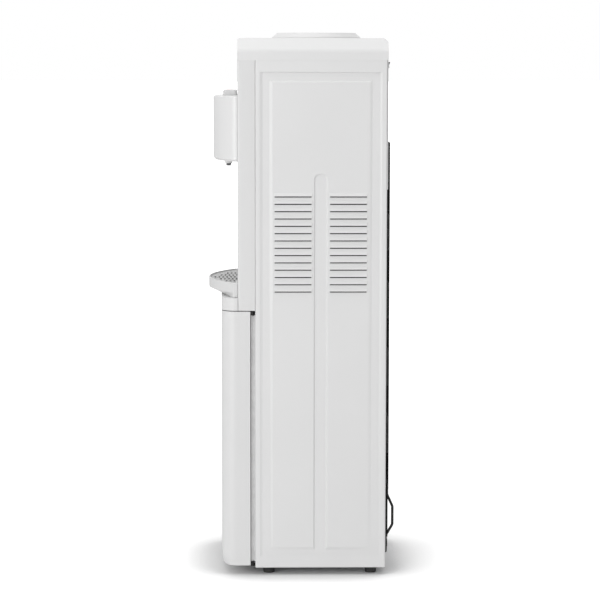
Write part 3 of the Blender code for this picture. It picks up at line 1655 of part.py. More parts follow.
def make_door():
    """Outer shell of the storage door, with a finger pull in its free edge."""
    door = loft(
        "storage_door",
        "white_plastic",
        door_rings(0, DOOR_BACK, DOOR_BOTTOM_Z, DOOR_TOP_Z),
    )
    hollow = loft(
        "door_hollow",
        None,
        door_rings(
            DOOR_WALL, DOOR_BACK + OVERRUN, DOOR_BOTTOM_Z + DOOR_WALL, DOOR_TOP_Z - DOOR_WALL
        ),
    )
    edge = -HALF_WIDTH + DOOR_SIDE_GAP
    pocket = box(
        "pull_shell",
        None,
        (edge + DOOR_WALL / 2, edge + PULL_DEPTH + DOOR_WALL),
        (at(PULL_FRONT) - DOOR_WALL, at(PULL_BACK) + DOOR_WALL),
        (PULL_BOTTOM_Z - DOOR_WALL, PULL_TOP_Z + DOOR_WALL),
    )
    scoop = box(
        "pull_scoop",
        None,
        (edge - OVERRUN, edge + PULL_DEPTH),
        (at(PULL_FRONT), at(PULL_BACK)),
        (PULL_BOTTOM_Z, PULL_TOP_Z),
    )
    cut(door, hollow)
    fuse(door, pocket)
    cut(door, scoop)

    side = HALF_WIDTH - DOOR_SIDE_GAP - DOOR_WALL - FIT_GAP
    low, high = DOOR_BOTTOM_Z + DOOR_WALL + FIT_GAP, DOOR_TOP_Z - DOOR_WALL - FIT_GAP
    back = at(DOOR_BACK) - FIT_GAP
    liner = box(
        "door_liner", "white_plastic", (-side, side), (back - LINER_PANEL, back), (low, high)
    )
    pitch = (high - low) / (LINER_RIBS + 1)
    for rib in range(LINER_RIBS):
        z = low + pitch * (rib + 1)
        swage = box(
            f"liner_rib_{rib}",
            None,
            (-side * LINER_RIB_SHARE, side * LINER_RIB_SHARE),
            (back - LINER_PANEL / 2, back + LINER_RIB),
            (z - LINER_RIB_HEIGHT / 2, z + LINER_RIB_HEIGHT / 2),
        )
        fuse(liner, swage)

    hinge = empty("door_hinge", hinge_point())
    carry(hinge, bake(door), bake(liner))
    carry(hinge, *[bake(piece) for piece in make_knuckles()], make_strike())


def hinge_point():
    return Vector((HALF_WIDTH - HINGE_SIDE_INSET, at(HINGE_DEPTH), DOOR_BOTTOM_Z))


def hinge_levels():
    """Each hinge's name, the knuckle's span and which way its bracket lies."""
    top, low = DOOR_TOP_Z, DOOR_BOTTOM_Z
    return (
        ("upper", (top - KNUCKLE_HEIGHT, top), 1),
        ("lower", (low, low + KNUCKLE_HEIGHT), -1),
    )


def make_knuckles():
    """Hinge leaves on the door's rear edge, each with a bored knuckle."""
    point = hinge_point()
    pieces = []
    for name, (low, high), _ in hinge_levels():
        knuckle = rod(
            "hinge_knuckle_" + name,
            "black_steel",
            (point.x, point.y, low),
            (point.x, point.y, high),
            KNUCKLE_RADIUS,
            BORE_SEGMENTS,
        )
        leaf_y = at(DOOR_BACK) + FIT_GAP
        leaf = box(
            "knuckle_leaf_" + name,
            None,
            (point.x - KNUCKLE_LEAF, point.x),
            (leaf_y, leaf_y + KNUCKLE_LEAF_THICKNESS),
            (low, high),
        )
        bore = rod(
            "knuckle_bore_" + name,
            None,
            (point.x, point.y, low - OVERRUN),
            (point.x, point.y, high + OVERRUN),
            clear_of(HINGE_PIN_RADIUS, HINGE_CLEARANCE, BORE_SEGMENTS),
            BORE_SEGMENTS,
        )
        fuse(knuckle, leaf)
        cut(knuckle, bore)
        pieces.append(knuckle)
    return pieces


def make_hinge_brackets():
    """Fixed hinge plates above and below the door, with the pins that the knuckles turn on."""
    point = hinge_point()
    back = at(PANEL_FRONT) - FIT_GAP
    for name, (low, high), way in hinge_levels():
        face = high + FIT_GAP if way > 0 else low - FIT_GAP
        far = face + way * BRACKET_SHEET
        bracket = box(
            "hinge_" + name,
            "black_steel",
            (point.x - BRACKET_WIDTH, point.x + KNUCKLE_RADIUS / 2),
            (point.y - KNUCKLE_RADIUS, back),
            tuple(sorted((face, far))),
        )
        pin = rod(
            "hinge_pin_" + name,
            None,
            (point.x, point.y, face + way * BRACKET_SHEET / 2),
            (point.x, point.y, face - way * KNUCKLE_HEIGHT),
            HINGE_PIN_RADIUS,
            SMALL_SEGMENTS,
        )
        fuse(bracket, pin)


def catch_x():
    edge = -CABINET_FLANGE_HALF_WIDTH
    return (edge, edge + CATCH_WIDTH)


def make_catch():
    """Magnetic catch on the compartment's flange."""
    return box(
        "magnetic_catch",
        "black_plastic",
        catch_x(),
        (at(DOOR_BACK) + STRIKE_SHEET + FIT_GAP * 3, at(PANEL_FRONT) - FIT_GAP),
        (CATCH_Z, CATCH_Z + CATCH_HEIGHT),
    )


def make_strike():
    """Steel strike plate on the door, opposite the catch."""
    return box(
        "catch_strike",
        "zinc_steel",
        catch_x(),
        (at(DOOR_BACK) + FIT_GAP, at(DOOR_BACK) + FIT_GAP + STRIKE_SHEET),
        (CATCH_Z, CATCH_Z + CATCH_HEIGHT),
    )


# Cooling circuit


def make_condenser():
    """Serpentine tube with upright wires behind it and tabs to the side panels."""
    y = at(CONDENSER_DEPTH)
    half = CONDENSER_HALF_WIDTH
    drier_y = at(DRIER_DEPTH)
    start = DRIER_TOP_Z + DRIER_NECK + FIT_GAP
    corners = [
        (DRIER_X, drier_y, start),
        (DRIER_X, drier_y, start + DRIER_RISE),
        (-CONDENSER_RETURN_X, y, start + DRIER_RISE * 2),
        (-CONDENSER_RETURN_X, y, CONDENSER_TOP_Z),
    ]
    for run in range(CONDENSER_PASSES):
        z = CONDENSER_TOP_Z - run * CONDENSER_PITCH
        side = 1 if run % 2 == 0 else -1
        if run:
            corners.append((-side * half, y, z))
        corners.append((side * half, y, z))
    corners.append((half, y, z - CONDENSER_TAIL))
    condenser = tube(
        "condenser", "black_steel", bent(corners, CONDENSER_BEND, 2), TUBE_RADIUS
    )
    wire_y = y + TUBE_RADIUS + WIRE_RADIUS - WIRE_LAP
    for wire in range(WIRE_COUNT):
        x = (wire - (WIRE_COUNT - 1) / 2) * WIRE_PITCH
        strand = rod(
            f"condenser_wire_{wire}",
            None,
            (x, wire_y, z - WIRE_END),
            (x, wire_y, CONDENSER_TOP_Z + WIRE_END),
            WIRE_RADIUS,
            3,
        )
        fuse(condenser, strand)
    near = at(PANEL_REAR) + FIT_GAP
    far = y - TUBE_RADIUS + WIRE_LAP
    for run in TAB_PASSES:
        for side in (1, -1):
            turn = run if (run % 2 == 0) == (side > 0) else run + 1
            tab_z = CONDENSER_TOP_Z - (turn + 1 / 2) * CONDENSER_PITCH
            ends = (half - TAB_LAP, HALF_WIDTH - TAB_EDGE)
            tab = box(
                f"condenser_tab_{run}_{side}",
                None,
                tuple(sorted(side * end for end in ends)),
                (near, far),
                (tab_z - TAB_HEIGHT / 2, tab_z + TAB_HEIGHT / 2),
            )
            fuse(condenser, tab)
    return condenser


def make_compressor():
    """Domed steel can on a plate with four grommets, with its two stubs."""
    y = at(COMPRESSOR_DEPTH)
    low, high, seam = COMPRESSOR_BOTTOM_Z, COMPRESSOR_TOP_Z, COMPRESSOR_SEAM_Z
    profile = [(0, high)]
    for step in range(1, 4):
        angle = math.pi / 2 * step / 3
        profile.append(
            (COMPRESSOR_RADIUS * math.sin(angle), high - COMPRESSOR_DOME * (1 - math.cos(angle)))
        )
    half_seam = COMPRESSOR_SEAM_HEIGHT / 2
    profile += [
        (COMPRESSOR_RADIUS, seam + half_seam),
        (COMPRESSOR_RADIUS + COMPRESSOR_SEAM, seam + half_seam),
        (COMPRESSOR_RADIUS + COMPRESSOR_SEAM, seam - half_seam),
        (COMPRESSOR_RADIUS, seam - half_seam),
        (COMPRESSOR_RADIUS, low + COMPRESSOR_DOME / 2),
        (COMPRESSOR_RADIUS - COMPRESSOR_DOME / 2, low),
        (0, low),
    ]
    can = turned("compressor", "black_steel", profile, 0, y, MID_SEGMENTS, closed=False)
    base = box(
        "compressor_plate",
        None,
        (-PLATE_HALF_WIDTH, PLATE_HALF_WIDTH),
        (y - PLATE_HALF_DEPTH, y + PLATE_HALF_DEPTH),
        (PLATE_Z, PLATE_Z + PLATE_SHEET),
    )
    fuse(can, base)
    for sign_x in (-1, 1):
        for sign_y in (-1, 1):
            x = sign_x * (PLATE_HALF_WIDTH - GROMMET_INSET)
            foot_y = y + sign_y * (PLATE_HALF_DEPTH - GROMMET_INSET)
            grommet = rod(
                f"grommet_{sign_x}_{sign_y}",
                None,
                (x, foot_y, PAN_Z + PAN_SHEET + FIT_GAP),
                (x, foot_y, PLATE_Z + PLATE_SHEET * 2),
                GROMMET_RADIUS,
                8,
            )
            fuse(can, grommet)
    inside = COMPRESSOR_RADIUS / 2
    outlet = rod(
        "discharge_stub",
        None,
        (inside, y, LINE_Z),
        (COMPRESSOR_RADIUS + STUB_LENGTH, y, LINE_Z),
        STUB_RADIUS,
        SMALL_SEGMENTS,
    )
    intake = rod(
        "suction_stub",
        None,
        (SUCTION_STUB_X, y, high - COMPRESSOR_DOME),
        (SUCTION_STUB_X, y, high + STUB_LENGTH),
        STUB_RADIUS,
        SMALL_SEGMENTS,
    )
    fuse(can, outlet, intake)
    edge = -COMPRESSOR_RADIUS - COMPRESSOR_SEAM - FIT_GAP
    box(
        "terminal_cover",
        "black_plastic",
        (edge - TERMINAL_REACH, edge),
        (y - TERMINAL_WIDTH / 2, y + TERMINAL_WIDTH / 2),
        (TERMINAL_Z, TERMINAL_Z + TERMINAL_HEIGHT),
    )


def make_refrigerant_lines():
    """Discharge line with its bow behind the cabinet, suction line and filter drier."""
    x = CONDENSER_HALF_WIDTH
    low_pass = CONDENSER_TOP_Z - (CONDENSER_PASSES - 1) * CONDENSER_PITCH
    start = (COMPRESSOR_RADIUS + STUB_LENGTH + FIT_GAP, at(COMPRESSOR_DEPTH), LINE_Z)
    bow_y = at(LINE_REACH) - TUBE_RADIUS
    drop_y = at(LINE_DROP_DEPTH)
    corners = [
        start,
        (LINE_RUN_X, start[1], LINE_Z),
        (LINE_DROP_X, drop_y, LINE_OVER_Z),
        (LINE_DROP_X, drop_y, LINE_LOW_Z),
        (x, drop_y, LINE_LOW_Z),
        (x, drop_y, BOW_FOOT_Z),
        (x, bow_y, BOW_BOTTOM_Z),
        (x, bow_y, BOW_TOP_Z),
        (x, at(CONDENSER_DEPTH), BOW_START_Z),
        (x, at(CONDENSER_DEPTH), low_pass - CONDENSER_TAIL - FIT_GAP),
    ]
    tube("discharge_line", "black_steel", bent(corners, LINE_BEND, 3), TUBE_RADIUS)

    coil_x = -clear_of(COLD_RADIUS + COIL_RADIUS, FIT_GAP, COIL_STEPS)
    lead_end = SHELF_Z - COIL_RADIUS * 2
    corners = [
        (coil_x, at(BOTTLE_DEPTH), lead_end - FIT_GAP),
        (coil_x, at(BOTTLE_DEPTH), SUCTION_HIGH_Z),
        (SUCTION_X, at(SUCTION_DEPTH), SUCTION_HIGH_Z),
        (SUCTION_X, at(SUCTION_DEPTH), SUCTION_LOW_Z),
        (SUCTION_STUB_X, at(COMPRESSOR_DEPTH), SUCTION_LOW_Z),
        (SUCTION_STUB_X, at(COMPRESSOR_DEPTH), COMPRESSOR_TOP_Z + STUB_LENGTH + FIT_GAP),
    ]
    tube("suction_line", "copper", bent(corners, SUCTION_BEND, 3), SUCTION_RADIUS)

    low, high = DRIER_BOTTOM_Z, DRIER_TOP_Z
    profile = [
        (0, high + DRIER_NECK),
        (STUB_RADIUS, high + DRIER_NECK),
        (STUB_RADIUS, high + DRIER_NECK / 2),
        (DRIER_RADIUS, high),
        (DRIER_RADIUS, low),
        (TUBE_RADIUS / 2, low - DRIER_NECK / 2),
        (TUBE_RADIUS / 2, low - DRIER_NECK),
        (0, low - DRIER_NECK),
    ]
    turned("filter_drier", "copper", profile, DRIER_X, at(DRIER_DEPTH), 16, closed=False)


# Tanks and hoses


def make_shelf():
    """Steel shelf between the side panels, which carries the cold tank."""
    side = HALF_WIDTH - MOAT_DEPTH - SHEET - SHELF_SIDE_GAP
    low, top = SHELF_Z - SHELF_LIP, SHELF_Z + SHELF_SHEET
    inner = side - SHELF_SHEET
    outline = [
        (-side, low),
        (-inner, low),
        (-inner, SHELF_Z),
        (inner, SHELF_Z),
        (inner, low),
        (side, low),
        (side, top),
        (-side, top),
    ]
    rear = at(PANEL_REAR) - SHEET * 2 - FIT_GAP * 2
    shelf = plate("tank_shelf", "zinc_steel", outline, "Y", at(SHELF_FRONT), rear)
    ports = (
        (-clear_of(COLD_RADIUS + COIL_RADIUS, FIT_GAP, COIL_STEPS), at(BOTTLE_DEPTH), COIL_RADIUS),
        (HOSE_SIDE_X, at(HOSE_SIDE_DEPTH), HOSE_RADIUS),
        (0, at(HOT_DEPTH), HOSE_RADIUS),
    )
    for number, (x, y, radius) in enumerate(ports):
        port = rod(
            f"shelf_port_{number}",
            None,
            (x, y, SHELF_Z - OVERRUN),
            (x, y, top + OVERRUN),
            radius + HOSE_PORT,
            BORE_SEGMENTS,
        )
        cut(shelf, port)


def make_cold_tank():
    """Stainless cold tank, the evaporator wound round it and the foam cup."""
    y = at(BOTTLE_DEPTH)
    low, high, radius, wall = COLD_BOTTOM_Z, COLD_TOP_Z, COLD_RADIUS, TANK_WALL

    def can(inset):
        return [
            (0, high - inset),
            (radius - COLD_DOME, high - inset),
            (radius - inset, high - COLD_DOME),
            (radius - inset, low + COLD_DOME),
            (radius - COLD_DOME, low + inset),
            (0, low + inset),
        ]

    tank = turned("cold_tank", "stainless", can(0), 0, y, closed=False)
    hollow = turned("cold_tank_hollow", None, can(wall), 0, y, closed=False)
    mouth = rod(
        "cold_tank_mouth",
        None,
        (0, y, high - wall * 2),
        (0, y, high + OVERRUN),
        PROBE_BASE_RADIUS / 2,
        BORE_SEGMENTS,
    )
    cut(tank, hollow, mouth)

    coil = clear_of(radius + COIL_RADIUS, FIT_GAP, COIL_STEPS)
    start_z = low + COIL_LOW
    points = [(-coil, y, SHELF_Z - COIL_RADIUS * 2), (-coil, y, start_z - COIL_PITCH / 2)]
    for step in range(COIL_TURNS * COIL_STEPS + 1):
        angle = math.pi + 2 * math.pi * step / COIL_STEPS
        z = start_z + COIL_PITCH * step / COIL_STEPS
        points.append((coil * math.cos(angle), y + coil * math.sin(angle), z))
    tube("evaporator_coil", "copper", points, COIL_RADIUS)

    bore = coil + COIL_RADIUS + FIT_GAP
    floor = SHELF_Z + SHELF_SHEET + FIT_GAP
    rim = high - COLD_DOME
    cup = [(0, rim), (FOAM_RADIUS, rim), (FOAM_RADIUS, floor), (0, floor)]
    foam = turned("cold_insulation", "foam", cup, 0, y, closed=False)
    well = rod(
        "foam_bore",
        None,
        (0, y, floor + FOAM_FLOOR),
        (0, y, rim + OVERRUN),
        clear_of(bore, 0),
    )
    ports = (
        (-coil, y, COIL_RADIUS + HOSE_PORT),
        (0, at(HOT_DEPTH), HOSE_RADIUS + HOSE_PORT),
    )
    cut(foam, well)
    for number, (x, port_y, port_radius) in enumerate(ports):
        cut(
            foam,
            rod(
                f"foam_port_{number}",
                None,
                (x, port_y, floor - OVERRUN),
                (x, port_y, floor + FOAM_FLOOR + OVERRUN),
                port_radius,
                BORE_SEGMENTS,
            ),
        )
    outlets = (
        (TAP_PITCH, COLD_BOTTOM_Z + COLD_OUTLET_RISE),
        (0, COLD_TOP_Z - ROOM_OUTLET_DROP),
    )
    for number, (x, z) in enumerate(outlets):
        cut(
            foam,
            rod(
                f"foam_outlet_{number}",
                None,
                (x, y, z),
                (x, y - FOAM_RADIUS - OVERRUN, z),
                HOSE_RADIUS + HOSE_PORT,
                BORE_SEGMENTS,
            ),
        )


def make_hot_tank():
    """Hollow stainless hot tank with its heater band, on top of the storage compartment."""
    base = CABINET_LINER_TOP_Z + FIT_GAP
    top = base + HOT_HEIGHT
    band = base + HOT_BAND_LOW
    profile = [
        (0, top),
        (HOT_RADIUS - HOT_DOME, top),
        (HOT_RADIUS, top - HOT_DOME),
        (HOT_RADIUS, band + HOT_BAND_HEIGHT),
        (HOT_RADIUS + HOT_BAND, band + HOT_BAND_HEIGHT),
        (HOT_RADIUS + HOT_BAND, band),
        (HOT_RADIUS, band),
        (HOT_RADIUS, base),
        (0, base),
    ]
    y = at(HOT_DEPTH)
    tank = turned("hot_tank", "stainless", profile, 0, y, closed=False)
    hollow = [
        (0, top - TANK_WALL),
        (HOT_RADIUS - HOT_DOME, top - TANK_WALL),
        (HOT_RADIUS - TANK_WALL, top - HOT_DOME),
        (HOT_RADIUS - TANK_WALL, base + TANK_WALL),
        (0, base + TANK_WALL),
    ]
    cut(tank, turned("hot_tank_hollow", None, hollow, 0, y, closed=False))
    outlet_z = base + HOT_OUTLET_RISE
    drain_z = base + DRAIN_OUTLET_RISE
    bores = (
        ((0, y, top - HOT_DOME), (0, y, top + OVERRUN)),
        ((-HOT_RADIUS - OVERRUN, y, outlet_z), (-HOT_RADIUS + HOT_DOME, y, outlet_z)),
        ((HOT_RADIUS + OVERRUN, y, drain_z), (HOT_RADIUS - HOT_DOME, y, drain_z)),
    )
    for number, (start, end) in enumerate(bores):
        cut(tank, rod(f"hot_tank_bore_{number}", None, start, end, HOSE_BORE, 8))


def make_hoses():
    """Silicone hoses from the tanks to the taps, and the hot tank's feed and drain."""
    tap_y = at(INLET_BACK) + FIT_GAP
    turn_y = at(HOSE_FRONT_DEPTH)
    tank_y = at(BOTTLE_DEPTH)
    hot_y = at(HOT_DEPTH)
    hot_base = CABINET_LINER_TOP_Z + FIT_GAP
    hot_top = hot_base + HOT_HEIGHT
    outlet_y = tank_y - math.sqrt(COLD_RADIUS**2 - (TAP_PITCH - HOSE_RADIUS) ** 2) - FIT_GAP
    cold_z = COLD_BOTTOM_Z + COLD_OUTLET_RISE
    room_z = COLD_TOP_Z - ROOM_OUTLET_DROP
    hot_z = hot_base + HOT_OUTLET_RISE
    side_y = at(HOSE_SIDE_DEPTH)
    pan_rear = at(PANEL_REAR) - SHEET - FIT_GAP - PAN_SHEET - FIT_GAP
    drain_z = hot_base + DRAIN_OUTLET_RISE
    drain_y = at(DRAIN_HOSE_DEPTH)
    routes = {
        "cold": [
            (TAP_PITCH, outlet_y, cold_z),
            (TAP_PITCH, at(HOSE_RISE_DEPTH), cold_z),
            (TAP_PITCH, at(HOSE_RISE_DEPTH), HOSE_RISE_Z),
            (TAP_PITCH, turn_y, INLET_Z),
            (TAP_PITCH, tap_y, INLET_Z),
        ],
        "room": [
            (0, tank_y - COLD_RADIUS - FIT_GAP, room_z),
            (0, turn_y, room_z),
            (0, turn_y, INLET_Z),
            (0, tap_y, INLET_Z),
        ],
        "hot": [
            (-HOT_RADIUS - FIT_GAP, hot_y, hot_z),
            (HOSE_SIDE_X, hot_y, hot_z),
            (HOSE_SIDE_X, side_y, hot_z + HOSE_BEND * 2),
            (HOSE_SIDE_X, side_y, INLET_Z),
            (-TAP_PITCH, turn_y, INLET_Z),
            (-TAP_PITCH, tap_y, INLET_Z),
        ],
        "feed": [
            (0, hot_y, COLD_BOTTOM_Z - FIT_GAP),
            (0, hot_y, hot_top + FIT_GAP),
        ],
        "drain": [
            (HOT_RADIUS + FIT_GAP, hot_y, drain_z),
            (DRAIN_SIDE_X, hot_y, drain_z),
            (DRAIN_SIDE_X, drain_y, drain_z),
            (DRAIN_SIDE_X, drain_y, DRAIN_Z),
            (DRAIN_X, drain_y, DRAIN_Z),
            (DRAIN_X, pan_rear, DRAIN_Z),
        ],
    }
    for name, corners in routes.items():
        tube("hose_" + name, "silicone", bent(corners, HOSE_BEND, 3), HOSE_RADIUS)


# Rear services


def make_drain_plug():
    """Rubber plug in the drain spigot."""
    seat = at(PANEL_REAR) - SHEET - FIT_GAP + DRAIN_REACH
    head = seat + FIT_GAP
    plug = rod(
        "drain_plug",
        "rubber",
        (DRAIN_X, head, DRAIN_Z),
        (DRAIN_X, head + PLUG_HEAD, DRAIN_Z),
        PLUG_RADIUS,
        BORE_SEGMENTS,
    )
    shank = rod(
        "drain_plug_shank",
        None,
        (DRAIN_X, head - PLUG_SHANK + PLUG_HEAD, DRAIN_Z),
        (DRAIN_X, head + PLUG_HEAD / 2, DRAIN_Z),
        DRAIN_BORE - PLUG_CLEARANCE,
        BORE_SEGMENTS,
    )
    fuse(plug, shank)
    guide = empty("drain_plug_guide", (DRAIN_X, head, DRAIN_Z))
    carry(guide, bake(plug))


def make_gland():
    """Bush in the rear lip where the supply lead enters."""
    rear = at(PANEL_REAR) - SHEET - FIT_GAP
    gland = rod(
        "cord_gland",
        "black_plastic",
        (GLAND_X, rear + FIT_GAP, GLAND_Z),
        (GLAND_X, rear + GLAND_HEAD, GLAND_Z),
        GLAND_RADIUS,
        BORE_SEGMENTS,
    )
    neck = rod(
        "gland_neck",
        None,
        (GLAND_X, rear - PAN_SHEET - GLAND_HEAD / 2, GLAND_Z),
        (GLAND_X, rear + GLAND_HEAD / 2, GLAND_Z),
        GLAND_NECK,
        BORE_SEGMENTS,
    )
    bore = rod(
        "gland_bore",
        None,
        (GLAND_X, rear - PAN_SHEET - GLAND_HEAD - OVERRUN, GLAND_Z),
        (GLAND_X, rear + GLAND_HEAD + OVERRUN, GLAND_Z),
        GLAND_BORE,
        BORE_SEGMENTS,
    )
    fuse(gland, neck)
    cut(gland, bore)


# Assembly


PARTS = None
CUTTERS = None


def main():
    global PARTS, CUTTERS
    clear_scene()
    PARTS = make_collection(OBJECT_NAME)
    CUTTERS = make_collection("cutters")
    right = make_side_panel()
    mirrored(right, "side_panel_left")
    make_base_pan()
    make_feet()
    make_cabinet_liner()
    make_back_sheet()
    make_upper_back_cover()
    make_rockers()
    make_top_cover()
    make_bottle_seat()
    make_fascia()
    make_lamps()
    make_tap_housing()
    make_taps()
    make_buttons()
    make_springs()
    make_drip_tray()
    make_drip_grille()
    make_door()
    make_hinge_brackets()
    make_catch()
    make_condenser()
    make_compressor()
    make_refrigerant_lines()
    make_shelf()
    make_cold_tank()
    make_hot_tank()
    make_hoses()
    make_drain_plug()
    make_gland()


main()
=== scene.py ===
import json
import math

import bmesh
import bpy
from mathutils import Matrix, Vector

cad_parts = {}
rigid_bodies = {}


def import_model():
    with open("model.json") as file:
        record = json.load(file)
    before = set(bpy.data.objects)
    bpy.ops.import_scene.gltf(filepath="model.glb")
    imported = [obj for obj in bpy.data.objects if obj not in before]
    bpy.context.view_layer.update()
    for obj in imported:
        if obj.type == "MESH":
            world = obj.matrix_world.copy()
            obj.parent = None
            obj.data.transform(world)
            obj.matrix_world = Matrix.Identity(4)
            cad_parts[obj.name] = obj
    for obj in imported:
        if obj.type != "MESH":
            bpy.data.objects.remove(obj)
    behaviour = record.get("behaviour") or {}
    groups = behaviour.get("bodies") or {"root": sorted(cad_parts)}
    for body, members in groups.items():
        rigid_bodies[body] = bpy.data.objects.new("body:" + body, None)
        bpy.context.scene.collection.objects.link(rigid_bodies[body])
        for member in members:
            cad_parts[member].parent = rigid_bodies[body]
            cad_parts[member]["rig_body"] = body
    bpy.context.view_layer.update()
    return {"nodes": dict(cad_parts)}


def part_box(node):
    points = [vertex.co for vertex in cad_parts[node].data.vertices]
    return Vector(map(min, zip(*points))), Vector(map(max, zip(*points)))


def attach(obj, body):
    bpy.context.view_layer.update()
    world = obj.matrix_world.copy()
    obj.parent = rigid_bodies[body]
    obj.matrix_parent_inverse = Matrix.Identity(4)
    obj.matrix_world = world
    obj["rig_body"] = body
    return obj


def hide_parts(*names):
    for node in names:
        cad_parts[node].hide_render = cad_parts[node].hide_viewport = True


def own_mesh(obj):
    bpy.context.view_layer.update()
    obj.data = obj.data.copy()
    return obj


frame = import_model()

bl_info = {
    "name": "Water Dispenser",
    "version": (1, 0, 0),
    "blender": (4, 5, 0),
    "location": "View3D > Sidebar > Dispenser",
    "description": "Models and finishes a top-loading water dispenser over its packed frame",
    "category": "Object",
}

MM = 0.001
SMOOTH_ANGLE = math.radians(38)
MERGE = 0.00001


# Places that the frame's boxes don't give

CABINET_SIDE = 155 * MM
PRESSED_DEPTH = 2.5 * MM
PRESSED_WALL = 5 * MM
FRAME_FRONT = 8.7 * MM
FRAME_REAR = 9.7 * MM
FRAME_HEAD = 20.7 * MM
FIELD_SIDE = 22.7 * MM
FIELD_HEAD = 18.3 * MM
LOUVRE_ROWS = 14
LOUVRE_PITCH = 13.25 * MM
LOUVRE_DROP = 243.9 * MM
LOUVRE_SILL = 1.1 * MM
LOUVRE_OPENING = 0.9 * MM
# Black pads behind the louvres stand in for the shade inside the cabinet.
FOAM_INNER = 147.2 * MM
FOAM_OUTER = 151.4 * MM
FOAM_BANKS = {"front": (-53.5 * MM, 22.5 * MM), "rear": (46.5 * MM, 122.5 * MM)}
SHOULDER_DROP = 22.4 * MM
SEAM_CLOSE = 0.28 * MM
HOUSING_CORNER = (-126 * MM, -119 * MM)
TAP_Y = -133 * MM
GRILLE_ROWS = 7
GRILLE_ROW_PITCH = 37.5 * MM
GRILLE_SLOT = 29 * MM
GRILLE_GAP = 3.4 * MM
GRILLE_PITCH = 7.3 * MM
GRILLE_BOW = 243.7 * MM
GRILLE_TAIL = 111.5 * MM
GRILLE_SHOULDER = -119.2 * MM
CONDENSER_PASSES = 11
CONDENSER_FOOT = 158 * MM
CONDENSER_BEND = 122 * MM
WIRED_HALF = 113 * MM
STAY_X = 113 * MM
GROMMET_X = 74 * MM
GROMMET_Y = 32 * MM


# Sizes and colours


class DispenserSizes(bpy.types.PropertyGroup):
    """Sizes of the dispenser's fine forms."""

    def length(label, text, default, low, high):
        return bpy.props.FloatProperty(
            name=label, description=text, default=default, min=low, max=high, unit="LENGTH"
        )

    moulded_edge: length(
        "Moulded edge", "Radius on the rear switches' caps", 0.7 * MM, 0.1 * MM, 3 * MM
    )
    folded_edge: length(
        "Folded edge", "Radius on the folds of the side panels", 0.3 * MM, 0.05 * MM, 2 * MM
    )
    round_sides: bpy.props.IntProperty(
        name="Sides of a round piece",
        description="How many sides the large round mouldings have",
        default=96,
        min=24,
        max=192,
    )
    wire_pitch: length(
        "Condenser wire pitch", "Distance between upright wires", 5.4 * MM, 3 * MM, 30 * MM
    )
    wire_radius: length(
        "Condenser wire radius", "Half the thickness of a wire", 0.65 * MM, 0.3 * MM, 2 * MM
    )


class DispenserColours(bpy.types.PropertyGroup):
    """Colours of the dispenser's finishes."""

    def tint(label, text, value):
        return bpy.props.FloatVectorProperty(
            name=label, description=text, default=value, subtype="COLOR", min=0.0, max=1.0
        )

    steel: tint("Panels", "Powder coat of the steel panels", (0.735, 0.735, 0.735))
    # One white plastic in three painted tones: lighter on the cover and lighter still on the tap
    # housing for the light falling on them, deeper on the upright fronts.
    moulding: tint("Mouldings", "White of the top cover, seat and taps", (0.745, 0.745, 0.745))
    front: tint("Front mouldings", "White of the fascia, tray and door", (0.712, 0.712, 0.712))
    pale: tint("Tap housing", "White of the tap housing", (0.785, 0.785, 0.785))
    button: tint("Buttons", "Grey of the push buttons", (0.66, 0.66, 0.66))
    grille: tint("Grille", "Grey of the drip grille", (0.52, 0.52, 0.52))
    enamel: tint("Enamel", "Black enamel of the condenser and compressor", (0.014, 0.014, 0.014))
    black: tint("Black mouldings", "Black plastic of the small fittings", (0.018, 0.018, 0.018))
    hot: tint("Hot mark", "Red of the child lock and heating lamp", (0.55, 0.03, 0.02))
    cold: tint("Cold mark", "Blue of the feed probe and cooling lamp", (0.02, 0.12, 0.48))


def sizes():
    return bpy.context.scene.dispenser_sizes


def colours():
    return bpy.context.scene.dispenser_colours


# Work by hand


def take(piece=None):
    """Object mode with only this object, or nothing, selected."""
    if bpy.context.object and bpy.context.object.mode != "OBJECT":
        bpy.ops.object.mode_set(mode="OBJECT")
    bpy.ops.object.select_all(action="DESELECT")
    if piece:
        piece.select_set(True)
        bpy.context.view_layer.objects.active = piece


def settle(piece, name=None):
    """The piece's place goes into its mesh."""
    take(piece)
    bpy.ops.object.transform_apply(location=True, rotation=True, scale=True)
    piece.name = name or piece.name
    return piece


def open_mesh(piece):
    take(piece)
    bpy.ops.object.mode_set(mode="EDIT")
    bpy.ops.mesh.select_all(action="SELECT")


def close_mesh():
    bpy.ops.object.mode_set(mode="OBJECT")


def pick(kind, wanted):
    """In edit mode, select only the vertices, edges or faces that are wanted."""
    bpy.ops.mesh.select_all(action="DESELECT")
    bpy.ops.mesh.select_mode(type=kind)
    mesh = bmesh.from_edit_mesh(bpy.context.object.data)
    for item in {"VERT": mesh.verts, "EDGE": mesh.edges, "FACE": mesh.faces}[kind]:
        if wanted(item):
            item.select_set(True)
    bmesh.update_edit_mesh(bpy.context.object.data)


def near(value, *places, gap=0.15 * MM):
    """The value is within the gap of one of the places."""
    return any(abs(value - place) < gap for place in places)


def upright(a, b):
    """The two ends of an edge stand at different heights."""
    return abs(a.z - b.z) > 1 * MM


def shift(piece, wanted, move):
    """Move the vertices whose places are wanted."""
    open_mesh(piece)
    pick("VERT", lambda vert: wanted(vert.co))
    bpy.ops.transform.translate(value=move)
    close_mesh()


def round_over(piece, wanted, width, segments):
    """Rounded edges only where both ends' places are wanted."""
    open_mesh(piece)
    pick("EDGE", lambda edge: wanted(*(vert.co for vert in edge.verts)))
    bpy.ops.mesh.bevel(offset=width, segments=segments, affect="EDGES", clamp_overlap=True)
    close_mesh()


def pull(move):
    """In edit mode, draw the selection out."""
    bpy.ops.mesh.extrude_region_move(TRANSFORM_OT_translate={"value": move})


def block(name, low, high):
    """A box between two corners, to be shaped further."""
    take()
    low, high = Vector(low), Vector(high)
    bpy.ops.mesh.primitive_cube_add(size=1, location=(low + high) / 2)
    bpy.context.object.scale = high - low
    return settle(bpy.context.object, name)


